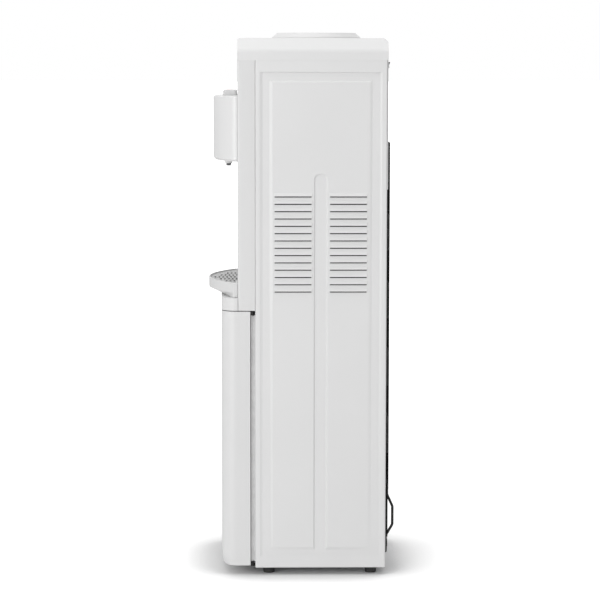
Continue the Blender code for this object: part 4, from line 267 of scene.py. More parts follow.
def cut_by(piece, cutter, operation="DIFFERENCE"):
    """Cut a shape out of a piece, and remove the cutter."""
    apply_modifier(piece, "BOOLEAN", object=cutter, operation=operation, solver="EXACT")
    bpy.data.objects.remove(cutter)


def weld(piece):
    """Doubles merged, then the faces turned outwards."""
    open_mesh(piece)
    bpy.ops.mesh.remove_doubles(threshold=MERGE)
    bpy.ops.mesh.normals_make_consistent(inside=False)
    close_mesh()
    return piece


def apply_modifier(piece, kind, **settings):
    take(piece)
    bpy.ops.object.modifier_add(type=kind)
    modifier = piece.modifiers[-1]
    for key, value in settings.items():
        setattr(modifier, key, value)
    bpy.ops.object.modifier_apply(modifier=modifier.name)
    return piece


def soften(piece, width, segments=3, angle=30):
    """Rounded edges where two faces meet at more than the angle in degrees."""
    return apply_modifier(
        piece,
        "BEVEL",
        width=width,
        segments=segments,
        limit_method="ANGLE",
        angle_limit=math.radians(angle),
        use_clamp_overlap=True,
    )


def even_shade(piece, angle=SMOOTH_ANGLE):
    """Smooth shading that keeps the wide faces flat."""
    take(piece)
    bpy.ops.object.shade_smooth_by_angle(angle=angle)
    return apply_modifier(piece, "WEIGHTED_NORMAL", keep_sharp=True, weight=60)


def drawn_copy(node, name):
    """A copy of a frame node whose loose triangles are merged into clean faces."""
    piece = bpy.data.objects.new(name, frame["nodes"][node].data.copy())
    bpy.context.scene.collection.objects.link(piece)
    piece.data.materials.clear()
    take(piece)
    if piece.data.has_custom_normals:
        bpy.ops.mesh.customdata_custom_splitnormals_clear()
    open_mesh(piece)
    bpy.ops.mesh.remove_doubles(threshold=MERGE)
    bpy.ops.mesh.dissolve_limited(angle_limit=math.radians(0.4))
    close_mesh()
    return piece


def centre(node):
    """The middle of a frame node's box."""
    low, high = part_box(node)
    return (low.x + high.x) / 2, (low.y + high.y) / 2, (low.z + high.z) / 2


def rings(place, *pairs):
    """Radii and heights in metres, from millimetres that start at a place."""
    return [(radius * MM, place + height * MM) for radius, height in pairs]


AXES = {
    "X": (Vector((1, 0, 0)), (0, math.radians(90), 0)),
    "Y": (Vector((0, 1, 0)), (math.radians(-90), 0, 0)),
    "Z": (Vector((0, 0, 1)), (0, 0, 0)),
}


def turned(name, base, outline, axis="Z", sides=None, hollow=False):
    """A round piece drawn out ring by ring from (radius, height) pairs along an axis.

    A hollow one closes on its first ring, and any other is capped at both ends.
    """
    along, turn = AXES[axis]
    base = Vector(base)
    radius, height = outline[0]
    take()
    bpy.ops.mesh.primitive_circle_add(
        vertices=sides or sizes().round_sides,
        radius=radius,
        location=base + along * height,
        rotation=turn,
    )
    piece = settle(bpy.context.object, name)
    open_mesh(piece)
    if not hollow:
        bpy.ops.mesh.edge_face_add()
    bpy.ops.mesh.select_mode(type="EDGE")
    across = Vector((1, 1, 1)) - along
    for next_radius, next_height in outline[1:] + (outline[:1] if hollow else []):
        bpy.ops.mesh.extrude_edges_move(
            TRANSFORM_OT_translate={"value": along * (next_height - height)}
        )
        bpy.ops.transform.resize(
            value=across * (next_radius / radius) + along,
            center_override=base + along * next_height,
        )
        radius, height = next_radius, next_height
    if not hollow:
        bpy.ops.mesh.edge_face_add()
    close_mesh()
    return weld(piece)


def rounded_path(corners, radius, steps=8):
    """Points of a path whose corners are bent to a radius."""
    corners = [Vector(corner) for corner in corners]
    points = [corners[0]]
    for before, corner, after in zip(corners, corners[1:], corners[2:]):
        back = (before - corner).normalized()
        on = (after - corner).normalized()
        reach = min(
            radius / math.tan(back.angle(on) / 2),
            (before - corner).length / 2,
            (after - corner).length / 2,
        )
        start, end = corner + back * reach, corner + on * reach
        for step in range(steps + 1):
            t = step / steps
            points.append(start * (1 - t) ** 2 + corner * 2 * t * (1 - t) + end * t**2)
    points.append(corners[-1])
    return points


def piped(name, paths, radius, resolution=3):
    """Round tubes along lines of points, as one mesh with closed ends."""
    take()
    bpy.ops.curve.primitive_bezier_curve_add()
    curve = settle(bpy.context.object, name).data
    curve.splines.clear()
    curve.dimensions = "3D"
    curve.bevel_depth = radius
    curve.bevel_resolution = resolution
    curve.use_fill_caps = True
    for points in paths:
        spline = curve.splines.new("POLY")
        spline.points.add(len(points) - 1)
        for point, place in zip(spline.points, points):
            point.co = (*place, 1)
    bpy.ops.object.convert(target="MESH")
    return even_shade(weld(bpy.context.object))


def bent(name, node, finish, corners, tube, bend):
    """A tube through the corners, in place of a frame node."""
    return fit(piped(name, [rounded_path(corners, bend)], tube), node, finish)


def joined(pieces, name):
    """Several meshes as one piece."""
    take(pieces[0])
    for other in pieces[1:]:
        other.select_set(True)
    bpy.ops.object.join()
    pieces[0].name = name
    return pieces[0]


def fit(piece, node, finish, replace=True):
    """The piece takes its finish and rides where its frame node does.

    It stands for that node, or is only added beside it where it doesn't replace it.
    """
    piece.data.materials.clear()
    piece.data.materials.append(finish)
    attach(piece, frame["nodes"][node]["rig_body"])
    if replace:
        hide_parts(node)
    return piece


def dress(piece, node, finish, width, segments=3, angle=30, replace=True):
    """Rounded edges and even shading, then the finish."""
    return fit(even_shade(soften(piece, width, segments, angle)), node, finish, replace)


def refined(name, node, finish, edge, segments=3):
    """A frame node drawn again with edges rounded to a radius in millimetres."""
    return dress(drawn_copy(node, name), node, finish, edge * MM, segments)


# Finishes


class Surface:
    """A node material that is built up from a plain shader."""

    def __init__(self, name, colour, roughness, metallic=0.0):
        self.material = bpy.data.materials.new(name)
        self.material.use_nodes = True
        self.material.diffuse_color = (*colour, 1.0)
        self.nodes = self.material.node_tree.nodes
        self.links = self.material.node_tree.links
        self.shader = self.nodes["Principled BSDF"]
        self.colour = tuple(colour)
        self.set(Base_Color=(*colour, 1.0), Roughness=roughness, Metallic=metallic)
        self.place = self.node("TexCoord").outputs["Object"]

    def set(self, node=None, **values):
        """Set or link the inputs of a node, or else of the shader."""
        for key, value in values.items():
            socket = (node or self.shader).inputs[key.replace("_", " ")]
            if isinstance(value, bpy.types.NodeSocket):
                self.links.new(value, socket)
            else:
                socket.default_value = value

    def node(self, kind, **values):
        node = self.nodes.new(f"ShaderNode{kind}")
        self.set(node, **values)
        return node

    def noise(self, scale, detail=2.0, roughness=0.5, vector=None):
        values = {"Scale": scale, "Detail": detail, "Roughness": roughness}
        return self.node("TexNoise", Vector=vector or self.place, **values).outputs["Fac"]

    def stretched(self, scale):
        """Object coordinates stretched along an axis."""
        return self.node("Mapping", Scale=scale, Vector=self.place).outputs["Vector"]

    def cells(self, scale, feature="F1"):
        node = self.node("TexVoronoi", Scale=scale, Vector=self.place)
        node.feature = feature
        return node.outputs["Distance"]

    def ramp(self, value, *stops):
        node = self.node("ValToRGB", Fac=value)
        for element, (place, colour) in zip(node.color_ramp.elements, stops):
            element.position = place
            element.color = (*colour, 1.0)
        return node.outputs["Color"]

    def between(self, value, low, high, out_low, out_high):
        limits = {"From_Min": low, "From_Max": high, "To_Min": out_low, "To_Max": out_high}
        return self.node("MapRange", Value=value, **limits).outputs["Result"]

    def maths(self, operation, *values):
        node = self.node("Math")
        node.operation = operation
        for value, socket in zip(values, node.inputs):
            self.links.new(value, socket)
        return node.outputs["Value"]

    def tone(self, value, dark, light=1.0):
        """The colour varies between two shares of itself."""
        shades = [tuple(min(1.0, c * share) for c in self.colour) for share in (dark, light)]
        self.paint(value, (0.35, shades[0]), (0.65, shades[1]))

    def paint(self, value, *stops):
        """The colour follows a ramp."""
        self.set(Base_Color=self.ramp(value, *stops))

    def sheen_range(self, value, smooth, rough, low=0.3, high=0.7):
        """The roughness varies between two values."""
        self.set(Roughness=self.between(value, low, high, smooth, rough))

    def relief(self, value, height, strength=1.0):
        """A bump whose height is in metres, added to what is there."""
        node = self.node("Bump", Distance=height, Strength=strength, Height=value)
        normal = self.shader.inputs["Normal"]
        if normal.is_linked:
            self.links.new(normal.links[0].from_socket, node.inputs["Normal"])
        self.set(Normal=node.outputs["Normal"])


FINISHES = {}


def finish(make):
    """Keep one material for each finish, under the finish's own name."""

    def kept():
        if make.__name__ not in FINISHES:
            FINISHES[make.__name__] = make(make.__name__).material
        return FINISHES[make.__name__]

    return kept


@finish
def powder_coat(name):
    """White powder coat on steel: fine orange peel over a broad, faint waviness."""
    paint = Surface(name, colours().steel, 0.42)
    paint.tone(paint.noise(6, 3), 0.985)
    paint.sheen_range(paint.noise(35, 3), 0.38, 0.47)
    paint.relief(paint.noise(700, 2, 0.55), 0.00004, 0.35)
    paint.relief(paint.noise(9, 1), 0.0004, 0.12)
    return paint


def moulded(name, colour, roughness, grain=1400, depth=0.00002):
    """Moulded plastic: an even colour with a fine spark grain."""
    plastic = Surface(name, colour, roughness)
    plastic.tone(plastic.noise(5), 0.985)
    plastic.sheen_range(plastic.noise(60, 3), roughness - 0.04, roughness + 0.06)
    plastic.relief(plastic.noise(grain, 2, 0.6), depth, 0.5)
    return plastic


@finish
def white_moulding(name):
    """Satin white plastic of the cover, seat and taps, painted a shade lighter than the fronts'
    white for the light that falls on the cover's top.
    """
    return moulded(name, colours().moulding, 0.36)


@finish
def front_moulding(name):
    """Satin white plastic of the fascia, tray and door, the cover's white painted a shade darker
    for the lesser light on these upright fronts.
    """
    return moulded(name, colours().front, 0.36)


@finish
def pale_moulding(name):
    """Satin white plastic of the tap housing, the cover's white painted lighter still for the light
    on the housing's bowed front.
    """
    return moulded(name, colours().pale, 0.33, 1600)


@finish
def liner_moulding(name):
    """Vacuum-formed white sheet with a faint stretch mark."""
    sheet = moulded(name, colours().moulding, 0.5, 600, 0.00003)
    sheet.relief(sheet.noise(14), 0.0006, 0.1)
    return sheet


@finish
def button_moulding(name):
    """Grey plastic of the push buttons."""
    return moulded(name, colours().button, 0.34, 1800)


@finish
def red_moulding(name):
    return moulded(name, colours().hot, 0.34, 1800)


@finish
def blue_moulding(name):
    return moulded(name, colours().cold, 0.34, 1800)


@finish
def grille_moulding(name):
    """Grey plastic of the drip grille with a little limescale."""
    plastic = Surface(name, colours().grille, 0.4)
    scale = plastic.noise(42, 5, 0.65)
    grey = plastic.colour
    plastic.paint(scale, (0.52, grey), (0.72, tuple(c * 1.14 for c in grey)))
    plastic.sheen_range(scale, 0.36, 0.55)
    plastic.relief(plastic.noise(1500), 0.00002, 0.5)
    return plastic


def dusted(name, colour, dust, peel=500):
    """A dark coat with dust that lies on it in faint patches."""
    coat = Surface(name, colour, 0.4)
    patches = coat.noise(28, 5, 0.6)
    coat.paint(patches, (0.45, coat.colour), (0.75, tuple(c + dust for c in coat.colour)))
    coat.sheen_range(patches, 0.34, 0.6)
    coat.relief(coat.noise(peel), 0.00003, 0.5)
    return coat


@finish
def black_enamel(name):
    """Stoved black enamel of the condenser, compressor and lines."""
    coat = dusted(name, colours().enamel, 0.012)
    coat.set(Specular_IOR_Level=0.3)
    return coat


@finish
def black_moulding(name):
    """Black plastic of the small fittings."""
    return dusted(name, colours().black, 0.01, 1500)


@finish
def zinc_plate(name):
    """Galvanised sheet with its spangle."""
    zinc = Surface(name, (0.56, 0.57, 0.58), 0.36, 0.9)
    spangle = zinc.cells(95)
    zinc.paint(spangle, (0.1, (0.47, 0.48, 0.49)), (0.6, (0.63, 0.64, 0.65)))
    zinc.sheen_range(spangle, 0.28, 0.46, 0.1, 0.7)
    zinc.relief(zinc.noise(240, 3), 0.00003, 0.4)
    return zinc


@finish
def drawn_stainless(name):
    """Stainless sheet with fine draw lines up its side."""
    steel = Surface(name, (0.62, 0.62, 0.61), 0.24, 1.0)
    lines = steel.noise(60, 4, 0.6, steel.stretched((14, 14, 0.4)))
    steel.tone(lines, 0.9, 1.02)
    steel.sheen_range(lines, 0.18, 0.34)
    steel.relief(lines, 0.00002, 0.4)
    return steel


@finish
def spring_wire(name):
    """Bright drawn wire with faint length marks."""
    wire = Surface(name, (0.6, 0.6, 0.6), 0.22, 1.0)
    marks = wire.noise(900, 3)
    wire.tone(marks, 0.9, 1.05)
    wire.sheen_range(marks, 0.16, 0.32)
    return wire


@finish
def copper_tube(name):
    """Copper that has dulled in patches."""
    copper = Surface(name, (0.72, 0.36, 0.2), 0.3, 1.0)
    dull = copper.noise(70, 5, 0.6)
    copper.paint(dull, (0.42, (0.74, 0.37, 0.21)), (0.72, (0.34, 0.16, 0.1)))
    copper.sheen_range(dull, 0.24, 0.5)
    copper.relief(copper.noise(500, 3), 0.00002, 0.5)
    return copper


@finish
def black_rubber(name):
    """Moulded rubber with a dusty bloom."""
    rubber = Surface(name, (0.03, 0.03, 0.031), 0.78)
    bloom = rubber.noise(80, 5, 0.65)
    rubber.paint(bloom, (0.4, (0.026, 0.026, 0.027)), (0.75, (0.055, 0.054, 0.052)))
    rubber.sheen_range(bloom, 0.7, 0.9)
    rubber.relief(rubber.noise(900, 3), 0.00006, 0.6)
    return rubber


@finish
def nozzle_rubber(name):
    """Grey rubber of the taps' outlets, with a faint scale bloom."""
    rubber = Surface(name, (0.12, 0.12, 0.122), 0.55)
    bloom = rubber.noise(150, 4, 0.6)
    rubber.tone(bloom, 0.8, 1.25)
    rubber.sheen_range(bloom, 0.45, 0.7)
    return rubber


@finish
def filter_foam(name):
    """Open-cell black foam, a dark backing that stands in for the shade inside the cabinet: deep
    pores, a little dust on the cell walls.
    """
    foam = Surface(name, (0.02, 0.02, 0.021), 0.95)
    cells = foam.noise(420, 3, 0.7)
    foam.tone(cells, 0.5, 1.9)
    foam.relief(cells, 0.0006, 0.9)
    return foam


@finish
def seal_rubber(name):
    """Pale grey extruded seal with a little dust, its grey also standing in for the shade in the
    door gap.
    """
    rubber = Surface(name, (0.62, 0.62, 0.62), 0.6)
    dust = rubber.noise(60, 4, 0.6)
    rubber.tone(dust, 0.9, 1.04)
    rubber.sheen_range(dust, 0.54, 0.72)
    rubber.relief(rubber.noise(900), 0.00003, 0.5)
    return rubber


@finish
def bead_foam(name):
    """Moulded bead foam: the beads' skins meet in a fine net."""
    foam = Surface(name, (0.8, 0.8, 0.785), 0.85)
    net = foam.cells(300, "DISTANCE_TO_EDGE")
    foam.paint(net, (0.0, (0.66, 0.66, 0.64)), (0.12, (0.81, 0.81, 0.795)))
    foam.relief(foam.ramp(net, (0.0, (0, 0, 0)), (0.2, (1, 1, 1))), 0.0003, 0.6)
    foam.set(Subsurface_Weight=0.1)
    return foam


@finish
def silicone_hose(name):
    """Milky silicone hose."""
    hose = Surface(name, (0.74, 0.74, 0.71), 0.42)
    cloud = hose.noise(50, 3)
    hose.tone(cloud, 0.94, 1.02)
    hose.sheen_range(cloud, 0.36, 0.52)
    hose.set(Subsurface_Weight=0.25)
    return hose


def lens(name, colour):
    """A small tinted lamp lens, off."""
    lamp = Surface(name, colour, 0.12)
    lamp.tone(lamp.noise(300), 0.85, 1.05)
    lamp.set(Coat_Weight=0.6, Subsurface_Weight=0.2)
    return lamp


@finish
def green_lens(name):
    return lens(name, (0.05, 0.36, 0.1))


@finish
def red_lens(name):
    return lens(name, colours().hot)


@finish
def blue_lens(name):
    return lens(name, colours().cold)


# Pieces


class DISPENSER_OT_side_panels(bpy.types.Operator):
    """Pressed steel side panels with their louvre banks"""

    bl_idname = "dispenser.side_panels"
    bl_label = "Side Panels"

    def execute(self, context):
        for side, sign in (("right", 1), ("left", -1)):
            node = f"side_panel_{side}"
            low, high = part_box(node)
            first = high.z - LOUVRE_DROP
            panel = drawn_copy(node, f"louvred_panel_{side}")
            self.crisp_pressing(panel, low, high)
            self.open_louvres(panel, first)
            self.screen(node, side, sign, first)
            soften(panel, sizes().folded_edge, 2)
            fit(even_shade(panel, math.radians(22)), node, powder_coat())
        return {"FINISHED"}

    def crisp_pressing(self, panel, low, high):
        """Steeper walls at the heads of the pressed frame and of the raised field in it."""
        floor_x = CABINET_SIDE - PRESSED_DEPTH + 0.1 * MM
        front = low.y + FRAME_FRONT + PRESSED_WALL
        rear = high.y - FRAME_REAR - PRESSED_WALL
        head = high.z - FRAME_HEAD - PRESSED_WALL
        across = FIELD_SIDE - 2 * PRESSED_WALL
        drop = FIELD_HEAD - 2 * PRESSED_WALL
        for first, last, place, rise in (
            (front, rear, head, 3.8 * MM),
            (front + across, rear - across, head - drop, -1.5 * MM),
        ):

            def on_ring(co):
                at_head = near(co.z, place, gap=0.6 * MM)
                return at_head and abs(co.x) < floor_x and first - 4 * MM < co.y < last + 4 * MM

            shift(panel, on_ring, (0, 0, rise))

    def open_louvres(self, panel, first):
        """Each louvre's slot reaches a little further down the face."""
        sills = [first - row * LOUVRE_PITCH - LOUVRE_SILL for row in range(LOUVRE_ROWS)]
        inner, outer = CABINET_SIDE - 1 * MM, CABINET_SIDE + 0.1 * MM
        shift(
            panel,
            lambda co: near(co.z, *sills) and inner < abs(co.x) < outer,
            (0, 0, -LOUVRE_OPENING),
        )

    def screen(self, node, side, sign, first):
        """Black foam pads behind each panel's louvres, a dark backing that stands in for the shade
        inside the cabinet seen through the slots.
        """
        last = first - (LOUVRE_ROWS - 1) * LOUVRE_PITCH
        low_x, high_x = sorted((sign * FOAM_INNER, sign * FOAM_OUTER))
        for name, (front, rear) in FOAM_BANKS.items():
            pad = block(
                f"shade_backing_pad_{name}_{side}",
                (low_x, front, last - 6 * MM),
                (high_x, rear, first + 4 * MM),
            )
            open_mesh(pad)
            pick("FACE", lambda face: abs(face.normal.x) > 0.9)
            bpy.ops.mesh.inset(thickness=4 * MM, depth=-0.6 * MM, use_individual=True)
            close_mesh()
            dress(pad, node, filter_foam(), 0.5 * MM, 2, replace=False)


class DISPENSER_OT_top_cover(bpy.types.Operator):
    """Moulded top cover with its sloped shoulders"""

    bl_idname = "dispenser.top_cover"
    bl_label = "Top Cover"

    def execute(self, context):
        low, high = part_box("top_cover")
        shoulder = high.z - SHOULDER_DROP
        cover = drawn_copy("top_cover", "moulded_top")
        shift(cover, lambda co: near(co.z, low.z), (0, 0, -SEAM_CLOSE))

        def on_shoulder(a, b):
            return near(a.z, shoulder) and near(b.z, shoulder) and abs(a.x) > 154 * MM

        round_over(cover, on_shoulder, 4 * MM, 6)
        dress(cover, "top_cover", white_moulding(), 1.6 * MM, 4)
        return {"FINISHED"}


class DISPENSER_OT_bottle_seat(bpy.types.Operator):
    """Collar, neck well and feed probe under the bottle"""

    bl_idname = "dispenser.bottle_seat"
    bl_label = "Bottle Seat"

    def execute(self, context):
        low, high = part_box("bottle_collar")
        base = (high.x - low.x) / 2
        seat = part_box("top_cover")[1].z + 0.02 * MM
        x, y, _ = centre("bottle_collar")
        collar = turned(
            "seat_collar",
            (x, y, 0),
            rings(seat, (60, 0))
            + rings(low.z, (60, 0), (57.5, 0))
            + rings(seat, (57.5, 2.5), (59.5, 3.6))
            + rings(high.z, (70, -2), (71.5, 0), (73.5, 0), (75, -2))
            + [(base, seat + 2.5 * MM), (base, seat)],
            hollow=True,
        )

        def on_ring(a, b):
            return near(a.z, b.z, gap=0.01 * MM) and a.z > seat + 1 * MM

        round_over(collar, on_ring, 0.8 * MM, 3)
        fit(even_shade(collar), "bottle_collar", white_moulding())

        low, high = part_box("bottle_well")
        well = turned(
            "neck_well",
            (x, y, 0),
            rings(high.z, (60, 0), (60, -3))
            + rings(low.z, (36.5, 45.4), (36.5, 0), (10, 0), (10, 2.5), (34, 2.5), (34, 47.9))
            + rings(high.z, (57.5, 0)),
            hollow=True,
        )
        dress(well, "bottle_well", white_moulding(), 1 * MM, 3, 20)

        low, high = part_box("feed_probe")
        probe = turned(
            "feed_spike",
            (x, y, 0),
            rings(low.z, (20, 0), (20, 3), (9, 3)) + rings(high.z, (9, -8), (3, 0)),
            sides=48,
        )
        soften(probe, 0.9 * MM, 3, 20)
        ports = Vector((x, y, high.z - 17 * MM))
        for half in (Vector((15, 2.5, 3)) * MM, Vector((2.5, 15, 3)) * MM):
            cut_by(probe, soften(block("port_cutter", ports - half, ports + half), 1 * MM, 2))
        fit(even_shade(probe), "feed_probe", blue_moulding())
        return {"FINISHED"}


class DISPENSER_OT_fascia(bpy.types.Operator):
    """Upper front with the cup alcove and its lamps"""

    bl_idname = "dispenser.fascia"
    bl_label = "Fascia"

    def execute(self, context):
        self.front()
        for name, glass in (("power", green_lens), ("heating", red_lens), ("cooling", blue_lens)):
            node = f"lamp_{name}"
            low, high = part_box(node)
            x, _, z = centre(node)
            dome = turned(
                f"lens_{name}",
                (x, 0, z),
                rings(high.y, (2.95, 0))
                + rings(low.y, (2.95, 1.2), (2.6, 0.5), (1.4, 0.1), (0.4, 0.02)),
                axis="Y",
                sides=32,
            )
            fit(even_shade(dome, math.radians(60)), node, glass())
        return {"FINISHED"}

    def front(self):
        """The shell meets the side panels, and its scored lines are faint above the tray."""
        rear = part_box("side_panel_right")[0].y - 0.3 * MM
        front = drawn_copy("front_fascia", "alcove_front")
        shift(front, lambda co: near(co.y, rear), (0, SEAM_CLOSE, 0))
        rear += SEAM_CLOSE
        for side in (1, -1):
            scored = side * (CABINET_SIDE - 0.8 * MM)
            groove = side * (CABINET_SIDE - 1.4 * MM)
            shift(front, lambda co: near(co.x, scored), (side * 0.66 * MM, 0, 0))
            shift(front, lambda co: near(co.x, groove), (-side * 0.85 * MM, 0, 0))

        def on_seam(*ends):
            return all(near(end.y, rear) and near(abs(end.x), CABINET_SIDE) for end in ends)

        round_over(front, on_seam, 0.6 * MM, 3)
        dress(front, "front_fascia", front_moulding(), 0.4 * MM, 2)


class DISPENSER_OT_tap_housing(bpy.types.Operator):
    """Bowed housing that carries the buttons over the spouts"""

    bl_idname = "dispenser.tap_housing"
    bl_label = "Tap Housing"

    def execute(self, context):
        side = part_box("tap_housing")[1].x - 5 * MM
        front, rear = HOUSING_CORNER
        housing = drawn_copy("tap_housing", "bowed_housing")

        def at_corner(*ends):
            return upright(*ends) and all(
                abs(end.x) > side and front < end.y < rear for end in ends
            )

        round_over(housing, at_corner, 7 * MM, 8)
        dress(housing, "tap_housing", pale_moulding(), 1.2 * MM, 4)
        return {"FINISHED"}


class DISPENSER_OT_buttons(bpy.types.Operator):
    """Push buttons with the child lock on the hot one"""

    bl_idname = "dispenser.buttons"
    bl_label = "Buttons"

    def execute(self, context):
        for name in ("cold", "room", "hot"):
            node = f"button_{name}"
            button = self.push(f"push_{name}", *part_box(node))
            if name == "hot":
                low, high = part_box("hot_lock")
                room = Vector((0.3, 0.3, 0.3)) * MM
                travel = Vector((0, 4, 5)) * MM
                cut_by(button, block("lock_slot", low - room, high + room + travel))
            fit(even_shade(button), node, button_moulding())
        refined("lock_slide", "hot_lock", red_moulding(), 0.5)
        return {"FINISHED"}

    def push(self, name, low, high):
        """A dished key with a retaining lip, on the stem that works the valve."""
        lip = 1.6 * MM
        key = block(
            name, (low.x + lip, low.y, low.z + 22 * MM), (high.x - lip, high.y, high.z)
        )
        open_mesh(key)
        pick("FACE", lambda face: face.normal.z > 0.9)
        bpy.ops.mesh.inset(thickness=3.4 * MM)
        bpy.ops.mesh.inset(thickness=3 * MM, depth=-0.7 * MM)
        close_mesh()
        soften(key, 1.5 * MM, 4)
        lip_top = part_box("tap_housing")[1].z - 2.8 * MM
        flange = block(
            "lip", (low.x, low.y + lip, lip_top - 2.5 * MM), (high.x, high.y - lip, lip_top)
        )
        soften(flange, 0.4 * MM, 2)
        outline = rings(low.z, (2.4, 0), (3, 0.8), (3, 24))
        stem = turned("stem", ((low.x + high.x) / 2, TAP_Y, 0), outline, sides=32)
        return joined([key, flange, stem], name)


class DISPENSER_OT_taps(bpy.types.Operator):
    """Valve bodies, their spouts and inlets, and the buttons' return springs"""

    bl_idname = "dispenser.taps"
    bl_label = "Taps"

    def execute(self, context):
        for name in ("cold", "room", "hot"):
            node = f"tap_{name}"
            low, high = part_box(node)
            x = centre(node)[0]
            valve = turned(
                f"valve_{name}",
                (x, TAP_Y, 0),
                rings(high.z, (3.4, -29.4), (3.4, 0), (12, 0), (12, -65), (8.5, -77))
                + rings(low.z, (6.6, 4.5), (4.7, 4.5), (4.7, 18)),
                sides=48,
            )
            soften(valve, 0.5 * MM, 3, 20)
            pipe = turned(
                "inlet_pipe",
                (x, 0, low.z + 62 * MM),
                rings(TAP_Y, (6, 4)) + rings(high.y, (6, -12), (6, -2), (5, 0), (3, 0), (3, -16)),
                axis="Y",
                sides=32,
            )
            fit(even_shade(joined([valve, pipe], f"valve_{name}")), node, white_moulding())
            self.spring(name, x)
            nozzle = turned(
                f"nozzle_{name}",
                (x, TAP_Y, 0),
                rings(low.z, (3.2, 0), (4.4, 0), (4.4, 16), (3.2, 16)),
                sides=40,
                hollow=True,
            )
            dress(nozzle, node, nozzle_rubber(), 0.3 * MM, 2, replace=False)
        return {"FINISHED"}

    def spring(self, name, x):
        """A coil with closed ends, under its button."""
        node = f"spring_{name}"
        low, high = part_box(node)
        wire, radius, turns, steps = 0.6 * MM, 6 * MM, 4, 36
        first, last = low.z + wire, high.z - wire
        points = []
        for step in range(turns * steps + 1):
            share = step / (turns * steps)
            angle = 2 * math.pi * turns * share
            rise = 0.08 * share + 0.92 * min(max((share - 0.12) / 0.76, 0), 1)
            points.append(
                (
                    x + radius * math.cos(angle),
                    TAP_Y + radius * math.sin(angle),
                    first + (last - first) * rise,
                )
            )
        coil = fit(piped(f"return_{name}", [points], wire, 2), node, spring_wire())
        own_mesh(coil)


class DISPENSER_OT_drip_tray(bpy.types.Operator):
    """Drip tray with its slotted grille"""

    bl_idname = "dispenser.drip_tray"
    bl_label = "Drip Tray"

    def execute(self, context):
        refined("bowed_tray", "drip_tray", front_moulding(), 0.9)
        self.grille(*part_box("drip_grille"))
        return {"FINISHED"}

    def grille(self, low, high):
        """A thin plate of short slots in staggered rows, on three legs."""
        bottom = high.z - 2.4 * MM
        plate = block(
            "slotted_grille",
            (-high.x, low.y - 5 * MM, bottom),
            (high.x, GRILLE_SHOULDER, high.z),
        )
        heights = [(GRILLE_BOW, bottom - 1 * MM), (GRILLE_BOW, high.z + 1 * MM)]
        disc = turned("bow", (0, low.y + GRILLE_BOW, 0), heights, sides=256)
        cut_by(plate, disc, "INTERSECT")
        rear = block(
            "tail",
            (-GRILLE_TAIL, GRILLE_SHOULDER - 1 * MM, bottom),
            (GRILLE_TAIL, high.y, high.z),
        )

        def at_corner(a, b):
            return near(a.y, high.y) and near(b.y, high.y) and upright(a, b)

        round_over(rear, at_corner, 10 * MM, 6)
        cut_by(plate, rear, "UNION")
        cut_by(plate, self.slots(low, high, bottom))
        soften(plate, 0.3 * MM, 2, 40)
        legs = []
        for x, y in ((-105.5, -120.5), (105.5, -120.5), (0, -164)):
            leg = block(
                "leg",
                ((x - 3) * MM, (y - 1.5) * MM, low.z),
                ((x + 3) * MM, (y + 1.5) * MM, bottom + 1 * MM),
            )
            legs.append(soften(leg, 0.5 * MM, 2))
        fit(even_shade(joined([plate, *legs], "slotted_grille")), "drip_grille", grille_moulding())

    def slots(self, low, high, bottom):
        """Every slot of the grille, as one cutter."""
        half_x, half_y = GRILLE_SLOT / 2, GRILLE_GAP / 2
        pattern = block(
            "slot", (-half_x, -half_y, bottom - 1 * MM), (half_x, half_y, high.z + 1 * MM)
        )
        round_over(pattern, upright, 1.2 * MM, 2)
        copies = []
        for row in range(GRILLE_ROWS):
            x = (row - (GRILLE_ROWS - 1) / 2) * GRILLE_ROW_PITCH
            far = abs(x) + half_x
            front = low.y + GRILLE_BOW - math.sqrt(GRILLE_BOW**2 - far**2) + 5 * MM
            back = (high.y if far < GRILLE_TAIL - 3 * MM else GRILLE_SHOULDER) - 5 * MM
            y = back - (row % 2) * GRILLE_PITCH / 2
            while y - GRILLE_GAP > front:
                copy = pattern.copy()
                copy.data = pattern.data.copy()
                bpy.context.scene.collection.objects.link(copy)
                copy.location = (x, y - half_y, 0)
                copies.append(copy)
                y -= GRILLE_PITCH
        bpy.data.objects.remove(pattern)
        return settle(joined(copies, "slots"))


